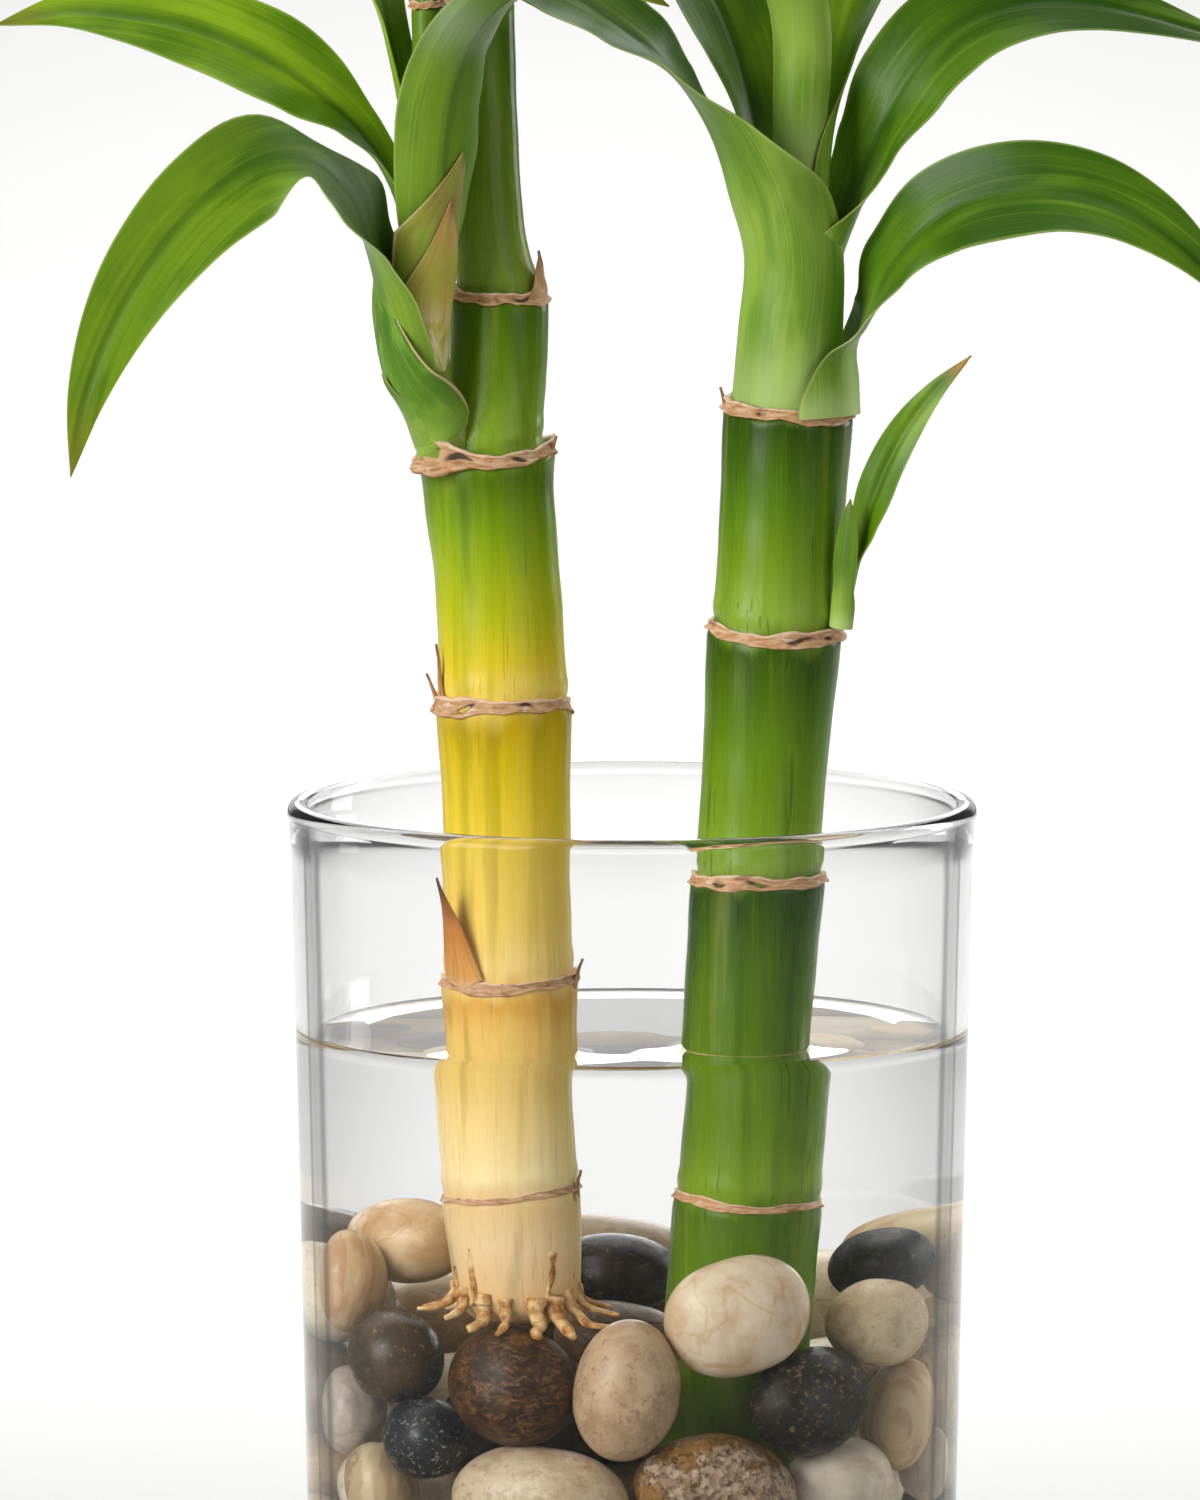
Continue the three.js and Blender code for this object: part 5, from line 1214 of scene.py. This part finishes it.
def stone_finish(f, base, second, third, pattern):
    """Stone whose main colour is broken by a second and a third in one of the patterns."""
    here = f.space()
    broad = f.noise(here, 0.13, 4, 0.6, 0.5)
    grain = f.noise(here, 1.1, 4, 0.65)
    shade = f.mix(broad.rise(0.38, 0.62), base, second)
    height = grain * 0.5 + broad * 0.8
    rough = 0.17 + grain * 0.16
    if pattern == "clouded":
        stain = f.noise(here, 0.09, 4, 0.6, 1.2).rise(0.54, 0.68)
        veil = (f.noise(here, 0.06, 3, 0.5, 0.4) - 0.5).math("ABSOLUTE").rise(0.012, 0.0)
        shares = (stain * 0.55, veil * 0.3, grain.rise(0.55, 0.7) * 0.25)
        shade = f.layers(shade, [(share, third) for share in shares])
    if pattern == "mottled":
        flakes = f.noise(here, 0.7, 5, 0.72, 0.6)
        shade = f.layers(shade, [
            (flakes.rise(0.5, 0.66) * 0.7, second),
            (flakes.rise(0.47, 0.33) * 0.7, third),
            (broad.rise(0.56, 0.7) * 0.4, third),
        ])
        height = height + flakes * 0.4
    if pattern == "crazed":
        net = f.noise((1.0, 1.0, 2.2), 0.2, 5, 0.72, 0.8)
        lines = (net - 0.5).math("ABSOLUTE").rise(0.022, 0.0)
        torn = f.noise((1.0, 1.0, 1.6), 0.42, 6, 0.74, 1.4)
        shade = f.layers(base, [
            (torn.rise(0.42, 0.66) * 0.7, second),
            (lines * 0.5 * torn.rise(0.42, 0.52), third),
            (torn.rise(0.62, 0.7) * 0.5, third),
            (broad.rise(0.5, 0.36) * 0.5, base),
        ])
        height = height + torn * 0.8
        rough = rough + torn * 0.16
    if pattern == "flecked":
        flecks = f.noise((0.9, 0.6, 0.9), 1.1, 5, 0.78, 0.5).rise(0.56, 0.64)
        zone = f.noise(here, 0.09, 2, 0.5).rise(0.42, 0.58)
        shade = f.mix(flecks * (0.25 + zone * 0.75), shade, third)
        rough = rough + flecks * 0.2
    if pattern == "banded":
        swirl = f.noise((1.0, 1.0, 0.55), 0.08, 4, 0.55, 1.1)
        stripes = (swirl * 21.0).math("SINE")
        shade = f.layers(base, [
            (stripes.rise(0.55, 1.0) * 0.5, second),
            (stripes.rise(-0.2, -0.9) * 0.6, third),
            (grain.rise(0.58, 0.72) * 0.35, second),
        ])
    if pattern == "crystal":
        x, _, z = f.parts(here)
        facets = f.cells(here, 0.8)
        torn = (f.noise(here, 0.16, 4, 0.6, 0.5) - 0.5) * 22
        inner = (torn + 36.5 - z).rise(-0.8, 0.8) * (torn + x - 3.0).rise(-0.8, 0.8)
        grey, _, _ = f.parts(f.cells(here, 0.8, "Color"))
        broken = f.mix(grey, "#7d6047", "#b69c80")
        broken = f.mix(grain.rise(0.45, 0.65) * 0.8, broken, third)
        crust = f.layers(base, [
            (broad.rise(0.4, 0.6), "#8c642c"),
            (grain.rise(0.48, 0.62) * 0.7, third),
            (f.noise(here, 0.5, 3, 0.6).rise(0.58, 0.66) * 0.6, "#b8904e"),
        ])
        shade = f.mix(inner, crust, broken)
        height = grain * 0.8 + facets * inner * 2.6
        rough = rough + 0.2 + inner * 0.15
    return f.shade(shade, rough, height, 0.16, 0.26)


def loose_stone_finish():
    """The loose pebbles: each one's colours are marks on its mesh, under the mottled pattern."""
    f = Finish("stone_mixed")
    base, second = f.mark("base_colour", "Color"), f.mark("second_colour", "Color")
    return stone_finish(f, base, second, f.mix(0.5, base, "#6a5844", "MULTIPLY"), "mottled")


def clear_surface(f, tint, index, shine, ripple, fineness):
    """Clear glass or water: it bends light by its index, faint slow ripples in its surface bend it
    further, and light passes through it unbent onto what it holds."""
    slow = f.noise((1, 1, 0.4), fineness, 2, 0.4)
    clear = f.add("ShaderNodeBsdfPrincipled", inputs={
        "Base Color": tint, "Roughness": 0.0, "IOR": index, "Transmission Weight": 1.0,
        "Specular Tint": [shine, shine, shine, 1.0], "Normal": f.bump(slow, ripple, 0.6),
    })
    through = f.add("ShaderNodeBsdfTransparent", inputs={0: "#ffffff"})
    shadow = f.add("ShaderNodeLightPath", output="Is Shadow Ray")
    bounced = f.add("ShaderNodeLightPath", output="Is Diffuse Ray")
    factor = shadow.math("MAXIMUM", bounced)
    surface = f.add("ShaderNodeMixShader", inputs={0: factor, 1: clear, 2: through})
    f.add("ShaderNodeOutputMaterial", inputs={"Surface": surface})
    return f.material


def glass_finish():
    """The vase's glass. Where its outer wall turns away from the eye, a grey band with a darker line
    along each of its borders is painted into its tint: painted shade for the dark of the room that the
    thick glass bends into view."""
    f = Finish("clear_glass")
    x, y, z = f.parts(f.space())
    away = f.add("ShaderNodeLayerWeight", inputs={"Blend": 0.5}, output="Facing")
    wall = (x * x + y * y) ** 0.5 - z * ((TOP_RADIUS - FOOT_RADIUS) / VASE_HEIGHT) - FOOT_RADIUS
    outer = wall.rise(-0.8, -0.4) * z.rise(126.0, 123.5)
    # Painted shade: a grey band, and a darker line at each of its borders, by how far the wall turns away.
    band = away.rise(0.585, 0.61) * away.rise(0.745, 0.72)
    lines = away.rise(0.6, 0.62) * away.rise(0.65, 0.63) + away.rise(0.7, 0.72) * away.rise(0.74, 0.725)
    streak = f.noise(f.vector(away * 60, z * 0.01, 0.0), 1.0, 2, 0.5)
    # Lays the painted grey band and painted dark lines into the tint, on the outer wall below the bead.
    shade = f.mix(outer * band * (0.35 + streak * 0.6), "#f3f3f3", "#909090")
    shade = f.mix(outer * lines * 0.75, shade, "#4c4e4d")
    return clear_surface(f, shade, GLASS_INDEX, shine=0.25, ripple=0.02, fineness=0.03)


# The vase.

def vase_radius(z):
    return FOOT_RADIUS + (TOP_RADIUS - FOOT_RADIUS) * z / VASE_HEIGHT


def lathe_rings(profile, sides):
    """The rings that a profile of radius and height draws when it is turned round the vase's axis."""
    r, z = np.array(profile, float).T[..., None]
    turn = full_turn(sides)
    return np.stack([r * np.cos(turn), r * np.sin(turn), np.broadcast_to(z, (len(r), sides))], axis=-1)


def lathe_shape(profile):
    """Turns a profile, which starts and ends on the axis, round the vase's axis."""
    points, quads, triangles = closed_tube(lathe_rings(profile[1:-1], VASE_SIDES))
    points[-2:] = [[0, 0, profile[0][1]], [0, 0, profile[-1][1]]]
    return (points, quads, triangles), {}


def arc(centre, sizes, start, stop, count):
    """Points on an arc of an ellipse, by angle in degrees."""
    angle = np.radians(np.linspace(start, stop, count))
    return [[centre[0] + sizes[0] * math.cos(a), centre[1] + sizes[1] * math.sin(a)] for a in angle]


def wall_line(low, high, count, offset):
    """Points up or down the vase's slanting wall, off its outer face by offset."""
    return [[vase_radius(z) + offset, z] for z in np.linspace(low, high, count)]


def inner_corner(grow=0.0):
    """The rounded corner in which the vase's inner wall meets its floor."""
    centre = [vase_radius(CORNER_TOP) - WALL - CORNER_SIZES[0], CORNER_TOP]
    return arc(centre, [size + grow for size in CORNER_SIZES], -4, -88, 10)


def vase_profile():
    """The glass in section: flat foot, rounded heel, straight outer wall, rounded bead, straight inner
    wall, rounded inner corner and a slightly crowned floor."""
    heel = arc([vase_radius(HEEL_RADIUS) - HEEL_RADIUS, HEEL_RADIUS], [HEEL_RADIUS] * 2, -90, -2, 10)
    outer = [[r + BEAD_SWELL * smooth((z - 123) / 5), z] for r, z in wall_line(4, 127.6, 60, 0)]
    bead = arc(BEAD_CENTRE, BEAD_SIZES, -8, 184, 30)
    inner = wall_line(127.4, 14, 44, -WALL)
    crown = [[r, GLASS_FLOOR + FLOOR_CROWN * (1 - r / 40)] for r in (36, 24, 12, 0)]
    return [[0, 0], [20, 0], [38, 0]] + heel + outer + bead + inner + inner_corner() + crown


def water_height(x, y):
    """The height of the water's surface: level, and drawn up by the glass and by each cane, by a rise
    that dies away with the distance from it."""
    wall_gap = vase_radius(WATER_TOP) - WALL - np.hypot(x, y)
    rise = MENISCUS_RISE * np.exp(-np.maximum(wall_gap, 0) / MENISCUS_WIDTH)
    for axis in (YELLOW_AXIS, GREEN_AXIS):
        centre = axis_at(axis, np.array([WATER_TOP]))[0]
        gap = np.hypot(x - centre[0], y - centre[1]) - CANE_AT_WATER
        rise = rise + CANE_MENISCUS_RISE * np.exp(-np.maximum(gap, 0) / MENISCUS_WIDTH)
    return WATER_TOP + rise


def water_shape():
    """All the water, from the glass floor to its surface. Its skin lies just inside the glass, so that
    light passes straight from one to the other."""
    share = np.linspace(0, 1, WATER_RINGS)[1:]
    edge = vase_radius(WATER_TOP) - WALL + WATER_INTO_GLASS
    reach = edge * blend(share, 1 - (1 - share) ** 2, 0.35)
    top = lathe_rings([[r, 0] for r in reach], WATER_SIDES)
    top[..., 2] = water_height(top[..., 0], top[..., 1])
    side = wall_line(94, 14, 24, WATER_INTO_GLASS - WALL) + inner_corner(WATER_INTO_GLASS)
    side += [[r, GLASS_FLOOR - WATER_INTO_GLASS] for r in (36, 20, 8)]
    points, quads, triangles = closed_tube(np.concatenate([top, lathe_rings(side, WATER_SIDES)]))
    points[-2] = [0, 0, water_height(np.zeros(1), np.zeros(1))[0]]
    return (points, quads, triangles), {}


glass = glass_finish()
water = clear_surface(Finish("clear_water"), "#fcfcfc", WATER_INDEX, shine=0.1, ripple=0.01, fineness=0.05)
piece("vase_glass", lathe_shape(vase_profile()), glass, "vase")
piece("water_body", water_shape(), water, "water")

# The canes, with their rings, dry tips and roots.
yellow_skin = cane_finish("yellow_cane_skin", YELLOW_STOPS, YELLOW_SPAN, grooves=0.3)
green_skin = cane_finish("green_cane_skin", GREEN_STOPS, GREEN_SPAN, grooves=1.0)
shoot_skin = cane_finish("shoot_skin", SHOOT_STOPS, SHOOT_SPAN, grooves=0.3)
scar = ring_finish()
dry = tip_finish()

yellow_stem = stem_shape(YELLOW_AXIS, YELLOW_OUTLINE, YELLOW_RINGS, CANE_SIDES, YELLOW_STEP)
green_stem = stem_shape(GREEN_AXIS, GREEN_OUTLINE, GREEN_RINGS, CANE_SIDES, GREEN_STEP)
shoot_stem = stem_shape(SHOOT_AXIS, SHOOT_OUTLINE, SHOOT_RINGS, SHOOT_SIDES, SHOOT_STEP)
piece("yellow_cane", yellow_stem, yellow_skin, "cane_yellow")
piece("green_cane", green_stem, green_skin, "cane_green")
piece("side_shoot", shoot_stem, shoot_skin)

yellow_rings = [ring_shape(YELLOW_AXIS, ring) for ring in YELLOW_RINGS]
shoot_rings = [ring_shape(SHOOT_AXIS, ring) for ring in SHOOT_RINGS]
green_rings = [ring_shape(GREEN_AXIS, ring) for ring in GREEN_RINGS]
piece("yellow_cane_rings", joined(yellow_rings + shoot_rings), scar)
piece("green_cane_rings", joined(green_rings), scar)


def tip_shapes(axis, tips, rings):
    """The dry tips of one cane, each standing on the ring that is nearest to it."""
    shapes = []
    for k, (z, degrees, length, lean, half_width) in enumerate(tips):
        _, radius, *_ = min(rings, key=lambda ring: abs(ring[0] - z))
        shape, marks = scale_shape(axis, z - TIP_FOOT, z + length, degrees, radius - TIP_INSIDE,
                                   radius + lean, half_width, 1.0, 9, 1.6, TIP_CRUMPLE)
        marks["seed"] = np.full(len(marks["along"]), 7.0 * k)
        marks["pale"] = np.full(len(marks["along"]), 0.0 if length > TALL_TIP else 1.0)
        shapes.append((shape, marks))
    return joined(shapes)


yellow_tips = tip_shapes(YELLOW_AXIS, YELLOW_TIPS, YELLOW_RINGS)
green_tips = tip_shapes(GREEN_AXIS, GREEN_TIPS, GREEN_RINGS)
piece("yellow_dry_tips", yellow_tips, dry, crease=SCALE_CREASE)
piece("green_dry_tips", green_tips, dry, crease=SCALE_CREASE)

old_sheath = sheath_finish()
for k, (*form, dryness) in enumerate(SHOOT_SHEATHS):
    shape, marks = scale_shape(SHEATH_AXIS, *form, SHEATH_CRUMPLE)
    marks["dryness"] = np.full(len(marks["along"]), dryness)
    piece("side_shoot_sheath_%d" % (k + 1), (shape, marks), old_sheath, crease=SCALE_CREASE)


def root_shapes():
    """Roots that run down the foot of the yellow cane and spread over the pebbles: each leaves the cane
    in a smooth elbow and sags as it reaches out."""
    shapes = []
    for degrees, start, reach, end, radius in ROOTS:
        foot = axis_at(YELLOW_AXIS, np.array([start]))[0]
        turn = math.radians(degrees)
        path = []
        for k, (out, drop) in enumerate([(0.0, 0.0), (0.06, 0.4), (0.3, 0.72), (0.68, 0.9), (1.0, 1.0)]):
            swing = turn + k * draws.uniform(-0.03, 0.03)
            r = ROOT_FOOT - 0.35 * drop + out * reach
            height = blend(start, end, drop)
            path.append([foot[0] + r * math.cos(swing), foot[1] + r * math.sin(swing), height])
        shapes.append(root_tube(path, radius, radius * ROOT_TAPER))
    return joined(shapes)


piece("yellow_cane_roots", root_shapes(), root_finish())

leaf_skin = leaf_finish()
for name, leaf in LEAVES.items():
    piece(name, leaf_shape(**leaf), leaf_skin, name, crease=LEAF_CREASE)

# The pebbles that the front shows one by one, and the loose ones in their clusters.
for name, look in PEBBLE_LOOKS.items():
    node = "pebble_" + name
    uneven, ball = (CRYSTAL_UNEVEN, FINE_BALL) if "crystal" in look else (PEBBLE_UNEVEN, BALL)
    shape = pebble_shape(pebble_groups(node)[0], uneven, ball)
    slot = next(s["material_slot"] for s in frame["record"]["subparts"] if s["node"] == node)
    piece("stone_" + name, (shape, {}), stone_finish(Finish("stone_" + name), *look), node)

loose_stone = loose_stone_finish()
turn_of_colour = 0
for node in sorted(frame["nodes"]):
    if not node.startswith("pebbles_"):
        continue
    shapes = []
    for group in pebble_groups(node):
        shape = pebble_shape(group, PEBBLE_UNEVEN)
        shades = LOOSE_COLOURS[turn_of_colour % len(LOOSE_COLOURS)]
        turn_of_colour += 1 + int(draws.integers(0, 3))
        base, second = (np.tile(colour(shade), (len(shape[0]), 1)) for shade in shades)
        shapes.append((shape, {"base_colour": base, "second_colour": second}))
    piece("loose_" + node, joined(shapes), loose_stone, node)


# The floor, the light and the camera.

def floor():
    """A plain pale floor that runs far past the view."""
    f = Finish("pale_floor")
    speck = f.noise((0.02, 0.02, 0.02), 1.0, 2)
    f.shade(f.mix(speck * 0.1, "#bcbcbb", "#b6b6b4"), 0.9)
    corners = ((-1, -1), (1, -1), (1, 1), (-1, 1))
    mesh = bpy.data.meshes.new("floor")
    mesh.from_pydata([(x * FLOOR_REACH, y * FLOOR_REACH, FLOOR_LEVEL) for x, y in corners], [], [range(4)])
    mesh.materials.append(f.material)
    put_in_scene("floor", mesh)


def aimed(name, data, place, direction):
    """Puts a lamp or camera in the scene so that it looks along a direction, its top towards +Z."""
    x, y, z = unit(np.array(direction, float))
    holder = put_in_scene(name, data)
    holder.location = place
    holder.rotation_euler = (math.acos(-z), 0.0, math.atan2(-x, y) if abs(x) + abs(y) > 1e-6 else 0.0)
    return holder


def soft_lamp(name, place, aim, size, glow):
    """A rectangle of light; its power is its glow times pi times its area."""
    lamp = bpy.data.lights.new(name, "AREA")
    lamp.shape = "RECTANGLE"
    lamp.size, lamp.size_y = size
    lamp.energy = glow * math.pi * size[0] * size[1]
    aimed(name, lamp, place, np.array(aim) - np.array(place))


def surround():
    """A surround that is white straight behind the object and dark elsewhere, which draws the edges of
    the glass."""
    world = bpy.data.worlds.new("studio")
    bpy.context.scene.world = world
    world.use_nodes = True
    f = Finish("studio", world.node_tree)
    place = f.add("ShaderNodeTexCoord", output="Generated")
    _, y, _ = f.parts(place)
    shade = f.mix(y.rise(0.93, 0.985), "#6a6a6a", "#ffffff")
    light = f.add("ShaderNodeBackground", inputs={"Color": shade, "Strength": SURROUND_GLOW})
    f.add("ShaderNodeOutputWorld", inputs={"Surface": light})


def camera():
    """A long lens far off, at the photograph's slight downward slant."""
    slant = math.asin(CAMERA_SLANT)
    direction = np.array([0.0, math.cos(slant), -math.sin(slant)])
    lens = bpy.data.cameras.new("camera")
    lens.sensor_width = SENSOR_WIDTH
    lens.lens = SENSOR_WIDTH * CAMERA_DISTANCE / SEEN_HEIGHT
    lens.clip_end = 40.0
    place = np.array(CAMERA_TARGET) - direction * CAMERA_DISTANCE
    bpy.context.scene.camera = aimed("camera", lens, place, direction)


floor()
for lamp in LAMPS:
    soft_lamp(*lamp)
surround()
camera()
bpy.context.scene.view_settings.view_transform = "Standard"
